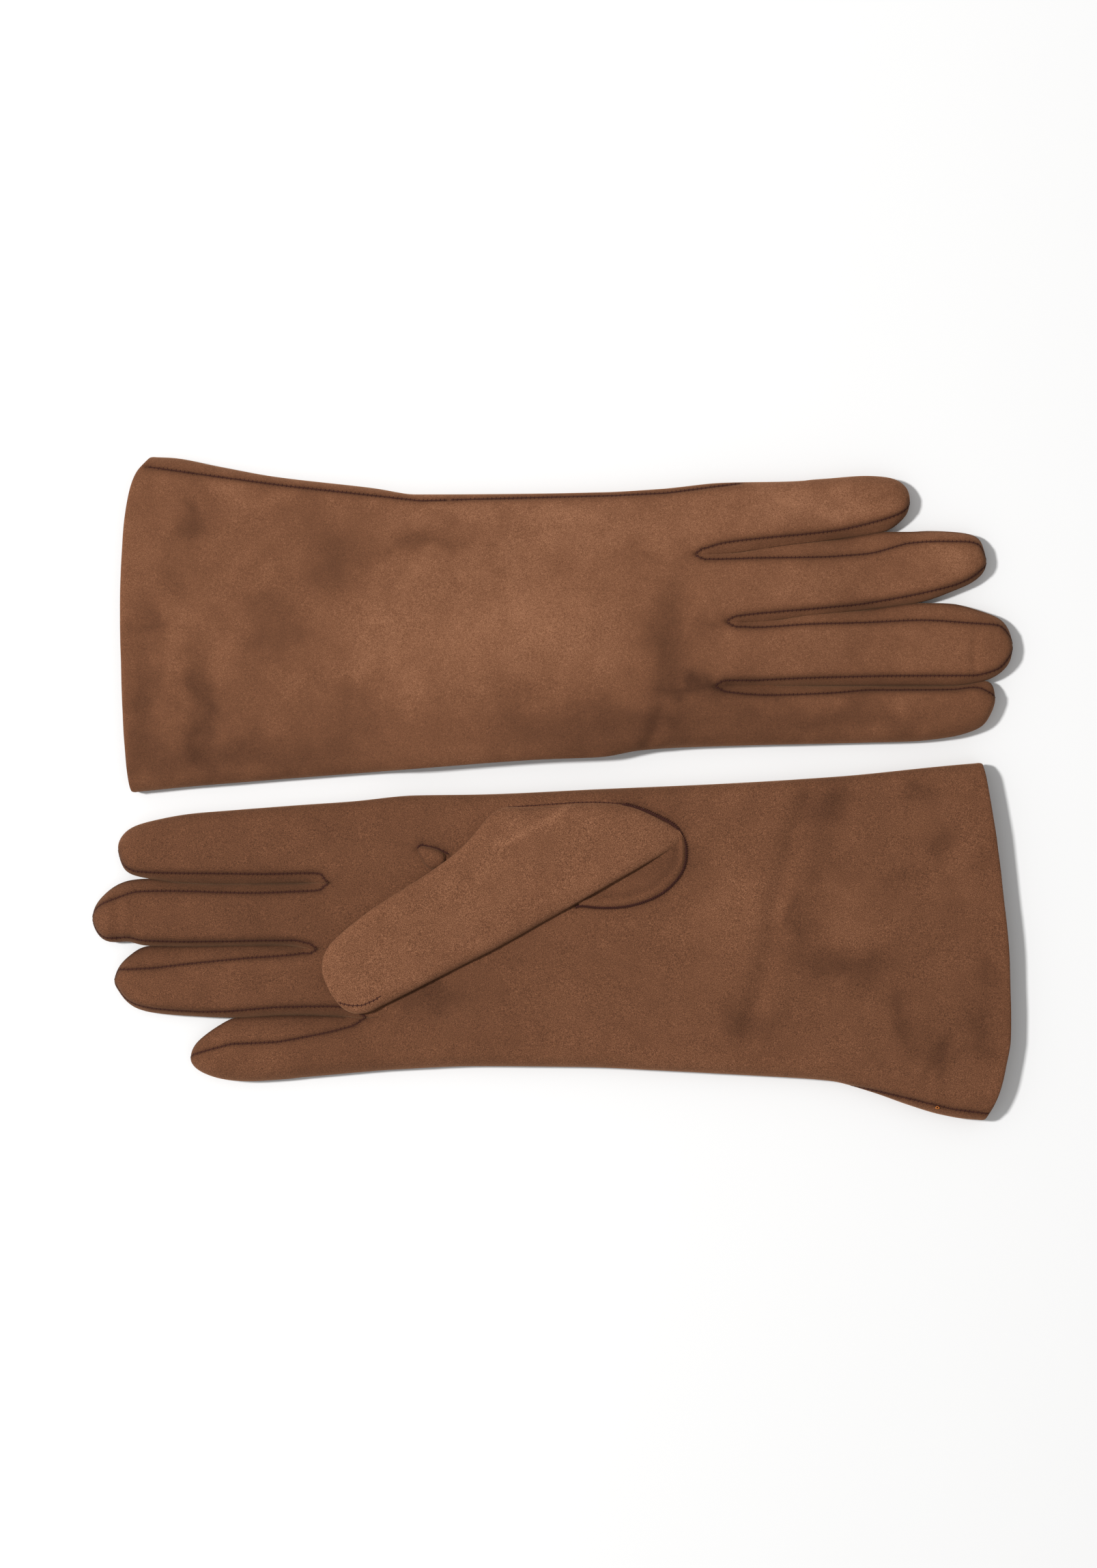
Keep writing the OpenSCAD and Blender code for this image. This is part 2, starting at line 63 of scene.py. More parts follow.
LAYOUT = {
    LEFT: {
        "index_edge": [(-160, -2.2), (-147, -1.3), (-127, 0.6), (-91, 3.5), (-48, 6.8), (-5, 10),
                       (17, 10.9), (31, 13.3), (46, 14.3), (75, 15.2), (110, 16)],
        "little_edge": [(-160, 116.4), (-141, 116), (-120, 112.9), (-98, 109.3), (-62, 105.2), (-48, 103.1),
                        (-26, 103.2), (17, 103.8), (38, 105), (60, 107.2), (82, 107.6), (100, 108.8)],
        "cuff": [(-3, -146.6), (0.6, -148), (15, -149.6), (40, -150.8), (65, -151.3), (87, -150.4),
                 (101, -148.7), (109, -146.5), (116, -141)],
        "creases": [
            [(50, 35.4), (65, 36), (140, 36), (148, 37), (152, 37.8)],
            [(50, 58.4), (70, 58.1), (90, 60.6), (110, 62.6), (128, 65)],
            [(42, 81.5), (60, 82), (80, 84.8), (100, 87.3), (117, 90)],
        ],
        "free_low": [
            [(75, 15.2), (110, 16), (125, 16.4), (139, 17.9), (146.5, 19.8), (151, 22), (153.5, 26)],
            [(156, 39.8), (159, 42.5), (160.8, 46)],
            [(135, 67), (140, 69), (146, 71.5), (150.5, 75)],
            [(122, 93.5), (124.6, 97)],
        ],
        "free_high": [
            [(154.2, 36)],
            [(135, 65), (140, 64.8), (145, 63.8), (150, 62.2), (155, 60.5), (158.5, 58), (160.5, 54)],
            [(125, 90), (132, 90.3), (140, 90), (147, 89), (150, 87), (151.4, 83)],
            [(82, 107.6), (96, 108.6), (110, 109.6), (117.7, 109.1), (121, 108), (124.3, 105)],
        ],
        "tip": [(155, 31.5), (161.2, 50), (152, 79), (125.2, 101)],
        "cap": [144, 148, 140, 114],
        "low_seams": [
            None,
            [(56.5, 35.4), (60, 36.4), (75, 38), (100, 39), (120, 39.4), (147, 39.5), (152, 40.5),
             (156, 42), (159, 45)],
            [(60.5, 58.6), (65, 60.2), (80, 61.8), (100, 63.5), (120, 66.5), (140, 71), (146, 73.5),
             (150, 76.5)],
            [(49.5, 81.6), (54, 84), (60, 85.7), (70, 87), (90, 89), (100, 90.3), (110, 92.5), (118, 94.8),
             (124, 98)],
        ],
        "high_seams": [
            [(56.5, 35.2), (60, 33.8), (75, 32.6), (95, 33.2), (115, 34.7), (140, 35.3), (148, 35.3),
             (153, 33.4)],
            [(60.5, 58.4), (65, 56.8), (70, 56.2), (90, 57.3), (110, 58), (130, 58.8), (146, 57.8),
             (156, 57), (159, 54.5)],
            [(49.5, 81.2), (55, 79.9), (70, 80.3), (90, 80.6), (110, 82), (126, 85.8), (135, 86.3),
             (145, 86.2), (149.5, 85), (151.2, 82)],
            None,
        ],
        "crotch": {1: (57, 61, 50), -1: (79, 82, 66)},
        "side_seam": [(-142, 3.6), (-120, 3.6), (-92, 3), (-65, 3), (-46, 2.6), (-14, 1.8), (22, 1.6),
                      (40, 1.9), (55, 1.6), (66, 0.6)],
        "thumb_at": (8, 33),
        "thumb_angle": 27,
    },
    RIGHT: {
        "index_edge": [(-165, -9.6), (-151, -8.8), (-139, -7.8), (-103, -4.4), (-60, -1.8), (-17, 0.1),
                       (26, 2), (48, 2.3), (70, 4.4), (91, 5.9), (113, 7.6)],
        "little_edge": [(-165, 116.4), (-151, 116), (-139, 114.4), (-125, 110.8), (-110, 106), (-96, 102.4),
                        (-67, 100.4), (-38, 98.8), (-10, 97.6), (26, 97.3), (55, 98.5), (84, 100.9),
                        (100, 102.3)],
        "cuff": [(-10, -150.2), (-8.8, -150.6), (6, -153.5), (34, -157.3), (63, -160), (85, -160.4),
                 (99, -158.3), (107, -156.2), (116, -151.5)],
        "creases": [
            [(70, 32.6), (80, 33), (115, 33.5), (130, 33), (142, 31.5)],
            [(72, 56.2), (83, 56), (95, 54.8), (130, 55.2), (143, 55)],
            [(56, 80), (66, 80), (90, 79.3), (111, 80.2)],
        ],
        "free_low": [
            [(91, 5.9), (113, 7.6), (127, 8.8), (141, 11.4), (147, 13.3), (150, 15.5)],
            [(150, 32.4), (154, 34.5), (158, 38), (160.4, 41.5)],
            [(147, 57.5), (151, 61), (153.1, 65)],
            [(117, 83), (122, 86.5), (125.5, 90)],
        ],
        "free_high": [
            [(148, 30), (150, 28.5), (151.8, 24)],
            [(146, 54.3), (149, 53.5), (154, 54), (157.5, 53), (160, 50)],
            [(130, 79.5), (140, 78.5), (145, 77.3), (149, 75), (152, 71)],
            [(84, 100.9), (98, 102.2), (107, 102.6), (115, 102), (121, 100.3), (125, 98)],
        ],
        "tip": [(152.2, 20.5), (161.2, 45.5), (153.5, 67.5), (126.8, 94.5)],
        "cap": [140, 149, 142, 114],
        "low_seams": [
            None,
            [(79, 34.5), (82, 35.6), (90, 36), (105, 36.5), (135, 35.8), (145, 36), (149, 37), (153, 38.5),
             (158, 40.6)],
            [(82, 56), (85, 57), (90, 58), (110, 59.5), (130, 61.5), (140, 62.7), (153, 63.6)],
            [(65.5, 79.2), (69, 82.5), (75, 84.3), (95, 88.3), (105, 90), (115, 92), (122, 93.8)],
        ],
        "high_seams": [
            [(79, 31.4), (80, 30), (84, 29.5), (100, 29.8), (130, 29.5), (145, 29), (149.5, 27.2)],
            [(83, 55.9), (86, 54), (90, 53), (110, 53.7), (130, 54.3), (140, 54.2), (145, 53), (149, 52),
             (152, 52.3), (158, 52)],
            [(65.3, 79), (72, 76.5), (77, 76), (95, 76.3), (115, 77.8), (125, 78), (139, 77.6), (148, 75)],
            None,
        ],
        "crotch": {1: (78.5, 82.5, 65.5), -1: (58, 61, 50)},
        "side_seam": [(-153, 2.4), (-140, 2.6), (-122, 2.2), (-112, 1.2), (-104, 0.3)],
        "thumb_at": (9, 26),
        "thumb_angle": 31,
    },
}

# Heights, runs and steps, in mm. A half is half the thickness of a glove as it lies.
HAND_HALF = 4.2
FINGER_HALF = 4.0
THIN_FROM, THIN_OVER = 40, 50
KNUCKLE_U = (87, 87, 87, 72)
FINGER_START = (78, 78, 78, 62)
HAND_START = -36
GAUNTLET_END = -62
BACK_RISE = 3.0
PALM_UNDER = 5.3
FLOOR_GAP = 0.02
ROW_STEP = 2.0
FINGER_STEP = 1.4
CAP_ROWS = 9
GAUNTLET_ROWS = 42
FINGER_CLEAR = -0.03

# Where the outer fingers' edges leave the hand's, and how a crease and its seams begin.
INDEX_OWN, INDEX_FREE, LITTLE_FREE = 60, 92, 90
CREASE_EASE = 40
CREASE_LEAD, CREASE_GROW = 2.0, 11
FOLD_INSET, UNDER_INSET, LEAST_INSET = 4.4, 3.2, 1.1
SIDE_RADIUS = 3.0

# The soft shape of a row: the crown of a finger and of the hand, and the groove along a sewn seam.
FINGER_CROWN, HAND_CROWN = 0.26, 0.1
GROOVE, GROOVE_LIP = 0.13, 0.02

# How near the left thumb a point has to be to be lifted all the way, and how far the lift fades out.
PALM_LIFT_NEAR, PALM_LIFT_FADE = 24, 14
BACK_LIFT_NEAR, BACK_LIFT_FADE = 16, 30

# The rows round the hem, from the facing's end out to the skin: how far in along the glove from the
# cuff's edge, and how far in from the skin's surface.
HEM_ROWS = [(12, 1.7), (6, 1.7), (2.4, 1.62), (0.9, 1.4), (0.15, 0.95), (0.1, 0.45), (0.75, 0.06)]
FACING_ROWS = 3
LINING_IN = 1.7

# The thumb and its foot, in the thumb's own plan [p, q].
THUMB_HALF = 2.15
THUMB_SAG = 1.1
THUMB_CLEAR = 0.2
THUMB_CROWN = 0.35
THUMB_EDGE_RADIUS, THUMB_FOOT_RADIUS = 3.4, 9.0
THUMB_SEWN_RISE = 0.12
THUMB_TIP = 82
THUMB_CAP = 70
THUMB_TIP_Q = 3.5
THUMB_STEP = 1.8
THUMB_LOOSE = -8
THUMB_FOLD = [(-53, 22.6), (-48, 22), (-20, 21.4), (0, 20.9), (25, 20), (47, 18.3), (70, 16.6), (76, 14.8),
              (80.4, 9)]
THUMB_FREE = [(-53, 18), (-50, 14.5), (-48, 11), (-41, 1.4), (-29, -7), (-13.5, -14.7), (0, -21.3),
              (14, -17.2), (22, -15.6), (39, -14.7), (52, -14.5), (63, -13.4), (72, -11.6), (77, -8.6),
              (80.6, -3.6)]
THUMB_TOP = [(-53, 0.5), (-48, 2.0), (-40, 3.4), (-25, 4.3), (-10, 4.5), (82, 4.5)]
OVAL_SIDE = [(-46, 30.4), (-38, 33.2), (-31, 33.3), (-22, 31), (-14, 26.6), (-9, 22.6), (-6.5, 21.6)]
OVAL_LOW_ARC = [(-52, 20), (-50.6, 24)] + OVAL_SIDE
OVAL_FOLD = [(-4, -20.4), (-13.5, -15.4), (-29, -7.6), (-39, -0.8)]
OVAL_ROPE = [(-39, -0.8), (-44, 4.2), (-48, 10), (-50.8, 14.4), (-51.6, 18.5), (-50.8, 24)] + OVAL_SIDE
QUIRK_EDGE = [(21.6, -16.5), (24, -20.3), (28.4, -24.6), (30.4, -24.1), (30.8, -22), (31.1, -18.1),
              (30.4, -15.4), (26, -13)]
QUIRK_MIDDLE = (28.2, -19.8)
QUIRK_RISE = 2.0
QUIRK_SEWN = 4
FLAP_RISE = 0.35
FLAP_RIDGE, FLAP_RIDGE_IN, FLAP_RIDGE_WIDTH = 0.6, 1.7, 1.1

# Lines in the right glove's plan: the short seam at the thumb's tip and a lighter line across the thumb.
THUMB_TIP_SEAM = [(75, 74.5), (70, 75.6), (66, 75.4), (62, 73.6), (59.5, 72)]
THUMB_LIGHTER_LINE = [(20, 20), (10, 15.5), (0, 10.5), (-5, 6), (-8, 3.5)]

# ---- Small helpers ----


def smooth_step(x):
    c = np.clip(x, 0, 1)
    return c * c * (3 - 2 * c)


def mix(a, b, t):
    return a + (b - a) * t


def bell(x, width, centre=0.0):
    """A smooth hump of height 1 at the centre."""
    return np.exp(-(((x - centre) / width) ** 2))


def smooth_line(points):
    """A smooth function through points (t, value) that never overshoots them."""
    t, y = np.array(points, float).T
    h = np.diff(t)
    d = np.diff(y) / h
    same = d[1:] * d[:-1] > 0
    inner = np.where(same, 2 * d[1:] * d[:-1] / np.where(same, d[1:] + d[:-1], 1), 0)
    m = np.concatenate([[d[0]], inner, [d[-1]]])

    def at(x):
        x = np.clip(x, t[0], t[-1])
        i = np.clip(np.searchsorted(t, x) - 1, 0, len(h) - 1)
        s = (x - t[i]) / h[i]
        return ((2 * s**3 - 3 * s**2 + 1) * y[i] + (s**3 - 2 * s**2 + s) * h[i] * m[i]
                + (3 * s**2 - 2 * s**3) * y[i + 1] + (s**3 - s**2) * h[i] * m[i + 1])

    return at


def turned(p, degrees):
    c, s = math.cos(math.radians(degrees)), math.sin(math.radians(degrees))
    p = np.asarray(p, float)
    return np.stack([p[..., 0] * c - p[..., 1] * s, p[..., 0] * s + p[..., 1] * c], -1)


def distance_to_line(points, line):
    """The distance of each [x, y] point from a polyline."""
    best = np.full(len(points), 1e9)
    line = np.array(line, float)
    for a, b in zip(line[:-1], line[1:]):
        d = b - a
        t = np.clip((points - a) @ d / np.linalg.norm(d) ** 2, 0, 1)
        best = np.minimum(best, np.linalg.norm(points - (a + t[:, None] * d), axis=1))
    return best


def evenly(line, pitch):
    """Points every pitch along a polyline."""
    line = np.array(line, float)
    run = np.concatenate([[0], np.cumsum(np.linalg.norm(np.diff(line, axis=0), axis=1))])
    at = np.arange(pitch / 2, run[-1], pitch)
    return np.stack([np.interp(at, run, line[:, k]) for k in range(line.shape[1])], -1)


def rounded(line):
    """A polyline with its corners cut twice, so that it curves."""
    line = np.array(line, float)
    for _ in range(2):
        a, b = line[:-1], line[1:]
        cut = np.stack([0.75 * a + 0.25 * b, 0.25 * a + 0.75 * b], 1).reshape(-1, 2)
        line = np.concatenate([line[:1], cut, line[-1:]])
    return line


def soft_noise(points, size, octaves=3, seed=0.0):
    """Smooth noise of about -1 to 1 whose patches are size mm across."""
    scaled = points / size + seed
    return np.array([noise.fractal(Vector(p), 0.9, 2.0, octaves) for p in scaled])


# ---- The glove's skin as one surface, cut into its sewn pieces at the end ----

EDGE_SHARES = np.array([0, 0.05, 0.18, 0.42, 0.76, 1])
PANEL_SHARES = np.array([0.06, 0.18, 0.34, 0.5, 0.66, 0.82, 0.94])
LAST = 2 * len(EDGE_SHARES) + len(PANEL_SHARES) - 1
LOW_SEAM = len(EDGE_SHARES) - 1
HIGH_SEAM = LAST - LOW_SEAM


class Glove:
    """The plan of one glove, and the rows of points that make its skin and its lining."""

    def __init__(self, side):
        d = LAYOUT[side]
        self.side, self.d = side, d
        self.index_edge = smooth_line(d["index_edge"])
        self.little_edge = smooth_line(d["little_edge"])
        self.cuff = smooth_line(d["cuff"])
        self.cuff_u = float(np.mean([u for _, u in d["cuff"]]))
        self.lows, self.highs, self.low_seams, self.high_seams = [], [], [], []
        for i in range(4):
            crease_low = d["creases"][i - 1] if i else []
            crease_high = d["creases"][i] if i < LITTLE else []
            self.lows.append(self.finger_line(i, crease_low + d["free_low"][i]))
            self.highs.append(self.finger_line(i, crease_high + d["free_high"][i]))
            self.low_seams.append(self.finger_line(i, d["low_seams"][i]))
            self.high_seams.append(self.finger_line(i, d["high_seams"][i]))

    def cap_length(self, i):
        return self.d["tip"][i][0] - self.d["cap"][i]

    def run_of(self, i, u):
        """How far along finger i a point at u is, where the run goes on round the fingertip's cap."""
        cap, length = self.d["cap"][i], self.cap_length(i)
        return u if u <= cap else cap + length * math.asin(min(1, (u - cap) / length))

    def finger_line(self, i, points):
        if points is None:
            return None
        return smooth_line([(self.run_of(i, u), v) for u, v in list(points) + [self.d["tip"][i]]])

    def end_run(self, i):
        return self.run_of(i, self.d["tip"][i][0])

    def turn(self, i, run):
        """The angle round the fingertip's cap, 0 before it."""
        return max(0.0, (run - self.d["cap"][i]) / self.cap_length(i))

    def u_of(self, i, run):
        turn = self.turn(i, run)
        return self.d["cap"][i] + self.cap_length(i) * math.sin(turn) if turn else run

    def lane_edge(self, k, run):
        """The line between lanes k - 1 and k in the hand. Lines 0 and 4 are the glove's own edges."""
        low, high = self.index_edge(run), self.little_edge(run)
        if k == 0:
            return low
        if k == 4:
            return high
        start, v = self.d["creases"][k - 1][0]
        share = (v - self.index_edge(start)) / (self.little_edge(start) - self.index_edge(start))
        eased = smooth_step((run - start + CREASE_EASE) / CREASE_EASE)
        return mix(low + share * (high - low), self.lows[k](run), eased)

    def edges(self, i, run, free):
        """The two edges of lane i. free is true where it is a finger of its own."""
        a, b = self.lane_edge(i, run), self.lane_edge(i + 1, run)
        if free or (i == INDEX and run > INDEX_OWN):
            a = self.lows[i](run) if (i or run > INDEX_FREE) else a
            b = self.highs[i](run) if (i < LITTLE or run > LITTLE_FREE) else b
        clear = FINGER_CLEAR if free and run > FINGER_START[i] + 0.1 else 0
        return a + clear, b - clear

    def insets(self, i, run, a, b, face):
        """How far each seam of lane i is from the lane's edge."""
        out = []
        for seams, gap, edge, sign in ((self.low_seams, i - 1, a, 1), (self.high_seams, i, b, -1)):
            line = seams[i]
            if line is None:
                inset = FOLD_INSET
            elif face == 1:
                begin = self.run_of(i, self.d["crotch"][1][gap])
                if run < begin:
                    edge = (self.lows if sign == 1 else self.highs)[i](begin)
                inset = max(sign * (line(max(run, begin)) - edge), LEAST_INSET)
                inset += 1.5 * smooth_step((begin - run) / 25)
            else:
                inset = UNDER_INSET
            out.append(float(np.clip(inset, 0.08 * (b - a), 0.4 * (b - a))))
        return out

    def split(self, gap, face, run):
        """How deep the crease between two fingers is, from 0 at its crotch to 1."""
        if gap in (-1, 3):
            return 1.0
        return float(smooth_step((run - self.d["crotch"][face][gap] + CREASE_LEAD) / CREASE_GROW))

    def thumb_distance(self, u, v):
        """How far a point of the plan is from the thumb's middle line."""
        d = turned(np.stack([u, v], -1) - self.d["thumb_at"], -self.d["thumb_angle"])
        return np.hypot(d[..., 0] - np.clip(d[..., 0], -38, THUMB_CAP), d[..., 1] - 2)

    def lifts(self, u, v):
        """How far the left glove's palm and back are lifted by the thumb under them."""
        if self.side == RIGHT:
            return np.zeros_like(u), np.zeros_like(u)
        far = self.thumb_distance(u, v)
        palm = PALM_UNDER * (1 - smooth_step((far - PALM_LIFT_NEAR) / PALM_LIFT_FADE))
        back = BACK_RISE * (1 - smooth_step((far - BACK_LIFT_NEAR) / BACK_LIFT_FADE))
        return palm, back

    def row(self, i, face, run, free, cuff_share=None, inward=0.0, along=0.0):
        """One row of lane i's points on a face, 1 for the top and -1 for the underside.

        cuff_share is 0 at the cuff's curved edge and 1 where the gauntlet's rows are straight.
        inward is how far the row is in from the skin, and along how far it is in from the cuff's edge.
        """
        a, b = self.edges(i, run, free)
        sa, sb = self.insets(i, run, a, b, face)
        v = np.concatenate([a + EDGE_SHARES * sa,
                            mix(a + sa, b - sb, PANEL_SHARES),
                            b - EDGE_SHARES[::-1] * sb])
        turn = self.turn(i, run) if free else 0.0
        half = mix(HAND_HALF, FINGER_HALF, smooth_step((run - THIN_FROM) / THIN_OVER))
        depth_low, depth_high = self.split(i - 1, face, run), self.split(i, face, run)
        if inward:
            v = np.clip(v, a + inward * depth_low, b - inward * depth_high)

        def side_fall(distance, inset, depth, sewn):
            radius = min(max(inset * 1.1, SIDE_RADIUS), 0.5 * (b - a))
            x = 1 - np.clip(distance / radius, 0, 1)
            turned_over = np.sqrt(np.clip(1 - x * x, 0, 1))
            sloped = np.clip(1 - x**1.3, 0, 1) ** 0.75
            return 1 - depth * (1 - mix(turned_over, sloped, float(sewn)))

        z = side_fall(v - a, sa, depth_low, i > INDEX) * side_fall(b - v, sb, depth_high, i < LITTLE)
        across = (v - a) / (b - a)
        if face == 1:
            z = z + FINGER_CROWN * np.sin(np.pi * across) ** 0.8 * (0.5 * depth_low + 0.5 * depth_high) * z
        for column, gap in ((LOW_SEAM, i - 1), (HIGH_SEAM, i)):
            if 0 <= gap <= 2:
                sewn = smooth_step((run - self.d["crotch"][face][gap]) / 3) * math.cos(turn)
                z[column] -= GROOVE * sewn
                z[column - 1] += GROOVE_LIP * sewn
                z[column + 1] += GROOVE_LIP * sewn
        whole_low, whole_high = self.index_edge(run), self.little_edge(run)
        if face == 1 and (not free or run < LITTLE_FREE):
            w = np.clip((v - whole_low) / (whole_high - whole_low), 0, 1)
            z = z + HAND_CROWN * np.sin(np.pi * w) * z * (1 - smooth_step((run - 30) / 50))
        if inward and not free:
            v = np.clip(v, whole_low + inward, whole_high - inward)
        half_here = (half - inward) * max(math.cos(turn), 0.0) ** 0.6
        u = np.full_like(v, self.u_of(i, run) if free else run)
        if cuff_share is not None:
            u = mix(self.cuff(v), GAUNTLET_END, cuff_share) + along
        palm, back = self.lifts(u, v)
        z_signed = face * half_here * z
        up = np.clip((1 + z_signed / half) / 2, 0, 1)
        return np.stack([u, v, half + z_signed + mix(palm, back, up)], -1)


def add_grid(build, rows, piece_of):
    """Adds the quads between rows of points. piece_of(row, column) gives each one's piece number."""
    for r in range(len(rows) - 1):
        for c in range(len(rows[r]) - 1):
            build.append((rows[r][c], rows[r + 1][c], rows[r + 1][c + 1], rows[r][c + 1], piece_of(r, c)))


def one_piece(*grids):
    """The quads of one or more grids that are all the same piece."""
    quads = []
    for rows in grids:
        add_grid(quads, rows, lambda r, c: 0)
    return quads


def welded_mesh(name, quads):
    """Joins quads that share corners, smooths them once, and returns points, faces and piece numbers."""
    corners = np.array([p for q in quads for p in q[:4]])
    keys = np.round(corners, 3)
    unique, index = np.unique(keys, axis=0, return_inverse=True)
    index = index.reshape(-1, 4)
    bm = bmesh.new()
    verts = [bm.verts.new(p) for p in unique]
    for ids, quad in zip(index, quads):
        ring = list(dict.fromkeys(ids.tolist()))
        if len(ring) < 3:
            continue
        try:
            face = bm.faces.new([verts[k] for k in ring])
        except ValueError:
            continue
        face.material_index = quad[4]
        face.smooth = True
    bmesh.ops.recalc_face_normals(bm, faces=bm.faces)
    mesh = bpy.data.meshes.new(name)
    bm.to_mesh(mesh)
    bm.free()
    obj = bpy.data.objects.new(name, mesh)
    bpy.context.scene.collection.objects.link(obj)
    modifier = obj.modifiers.new("Smooth", "SUBSURF")
    modifier.levels = 1
    modifier.render_levels = 1
    done = bpy.data.meshes.new_from_object(obj.evaluated_get(bpy.context.evaluated_depsgraph_get()))
    points = np.array([v.co for v in done.vertices])
    faces = [tuple(p.vertices) for p in done.polygons]
    pieces = np.array([p.material_index for p in done.polygons])
    bpy.data.objects.remove(obj)
    bpy.data.meshes.remove(mesh)
    bpy.data.meshes.remove(done)
    return points, faces, pieces


def point_normals(points, faces):
    """Area-weighted normals at each point."""
    normals = np.zeros_like(points)
    for size in (3, 4):
        rows = np.array([f for f in faces if len(f) == size])
        if not len(rows):
            continue
        n = np.cross(points[rows[:, 2]] - points[rows[:, 0]], points[rows[:, -1]] - points[rows[:, 1]])
        for k in range(size):
            np.add.at(normals, rows[:, k], n)
    return normals / np.maximum(np.linalg.norm(normals, axis=1), 1e-9)[:, None]


# The fourchettes, by finger and by the side that each is on, and all the pieces in the skin's order.
FOURCHETTES = {
    (INDEX, 1): "index_fourchette",
    (MIDDLE, -1): "middle_fourchette_index_side",
    (MIDDLE, 1): "middle_fourchette_ring_side",
    (RING, -1): "ring_fourchette_middle_side",
    (RING, 1): "ring_fourchette_little_side",
    (LITTLE, -1): "little_fourchette",
}
PIECES = ["gauntlet", "hem_facing", "hand", *(f"{finger}_stall" for finger in FINGERS), *FOURCHETTES.values()]
STRIPS = {key: PIECES.index(name) for key, name in FOURCHETTES.items()}


def strip_of(i, column):
    """The piece number of the fourchette that a column of finger i's points is on, if there is one."""
    side = -1 if column < LOW_SEAM else int(column >= HIGH_SEAM)
    return STRIPS.get((i, side)) if side else None


def hand_rows(glove, i, face):
    """Lane i's rows on a face from inside the hem to the fingers' roots, and the run of each."""
    shares = [k / GAUNTLET_ROWS for k in range(1, GAUNTLET_ROWS + 1)]
    gauntlet_runs = [mix(glove.cuff_u, GAUNTLET_END, share) for share in shares]
    hand_runs = list(np.arange(GAUNTLET_END + ROW_STEP, FINGER_START[i] + 0.1, ROW_STEP))
    rows = [glove.row(i, face, glove.cuff_u, False, 0.0, inward, along) for along, inward in HEM_ROWS]
    rows += [glove.row(i, face, run, False, share) for run, share in zip(gauntlet_runs, shares)]
    rows += [glove.row(i, face, run, False) for run in hand_runs]
    return rows, [glove.cuff_u] * len(HEM_ROWS) + gauntlet_runs + hand_runs


def finger_rows(glove, i, face):
    """Finger i's rows on a face, from the row after its root to the fingertip."""
    start, cap = FINGER_START[i], glove.d["cap"][i]
    count = int(round((cap - start) / FINGER_STEP))
    runs = [mix(start, cap, k / count) for k in range(1, count)]
    runs += [mix(cap, glove.end_run(i), math.sin(math.pi / 2 * k / CAP_ROWS)) for k in range(CAP_ROWS + 1)]
    return [glove.row(i, face, run, True) for run in runs]


def add_wall(build, tops, unders, column, number):
    """Adds the quads between the top's and the underside's edges in a finger gap."""
    add_grid(build, [[t[column], u[column]] for t, u in zip(tops, unders)], lambda r, c: number)


def glove_skin(glove):
    """The quads of the trank and its fourchettes, with their numbers in PIECES."""
    quads = []
    hands, fingers = {}, {}
    for i in range(4):
        for face in (1, -1):
            rows, runs = hand_rows(glove, i, face)

            def hand_piece(r, c, i=i, runs=runs, face=face):
                if r < FACING_ROWS:
                    return PIECES.index("hem_facing")
                if runs[r] < HAND_START:
                    return PIECES.index("gauntlet")
                strip = strip_of(i, c)
                gap = i - 1 if c < LOW_SEAM else i
                if strip is not None and runs[r] >= glove.d["crotch"][face][gap] - 1.5:
                    return strip
                return PIECES.index("hand")

            def finger_piece(r, c, i=i):
                strip = strip_of(i, c)
                return PIECES.index("index_stall") + i if strip is None else strip

            add_grid(quads, rows, hand_piece)
            hands[i, face] = rows
            fingers[i, face] = rows[-1:] + finger_rows(glove, i, face)
            add_grid(quads, fingers[i, face], finger_piece)
    for (i, edge), number in STRIPS.items():
        add_wall(quads, fingers[i, 1], fingers[i, -1], 0 if edge == -1 else LAST, number)
    root_rows = int((FINGER_START[RING] - FINGER_START[LITTLE]) / ROW_STEP) + 1
    add_wall(quads, hands[RING, 1][-root_rows:], hands[RING, -1][-root_rows:], LAST, STRIPS[RING, 1])
    return quads


# ---- Wrinkles, creases and soft unevenness ----

# Each crease is (depth, width, points), in mm in the glove's own plan, on the face that shows.
CREASES = {
    LEFT: [
        (0.9, 5.0, [(44, 37), (42, 48), (43, 60), (46, 69)]),
        (0.5, 2.2, [(33, 15), (36, 21), (38, 27)]),
        (0.35, 1.6, [(148, 41), (147, 47), (148.5, 54)]),
        (0.2, 1.2, [(-31, 86), (-24, 84.5), (-18, 84)]),
        (0.2, 1.2, [(-12, 72), (-8, 74)]),
        (0.25, 1.4, [(12, 85), (17, 83)]),
        (0.3, 2.4, [(46, 58.6), (54, 58.4), (60, 58.5)]),
        (0.3, 2.2, [(44, 35), (50, 35.3), (56, 35.3)]),
        (0.3, 2.2, [(36, 81), (43, 81.2), (49, 81.4)]),
        (0.55, 4.0, [(-141, 12), (-142, 40), (-141, 64)]),
        (0.55, 4.4, [(-121, 12), (-122, 30), (-118, 50)]),
    ],
    RIGHT: [
        (0.8, 3.6, [(-90, 3), (-86, 12), (-79, 38), (-75, 62), (-68, 84)]),
        (0.4, 3.0, [(-95, 62), (-110, 64), (-120, 72), (-125, 85)]),
        (0.55, 2.0, [(-131, 101), (-134, 94), (-139, 87)]),
        (0.55, 1.6, [(152.5, 39), (151.6, 45), (152.4, 52)]),
        (0.25, 2.0, [(56, 79.6), (62, 79.4), (66, 79.2)]),
        (0.2, 1.2, [(88, 12), (110, 13.5), (126, 15)]),
    ],
}


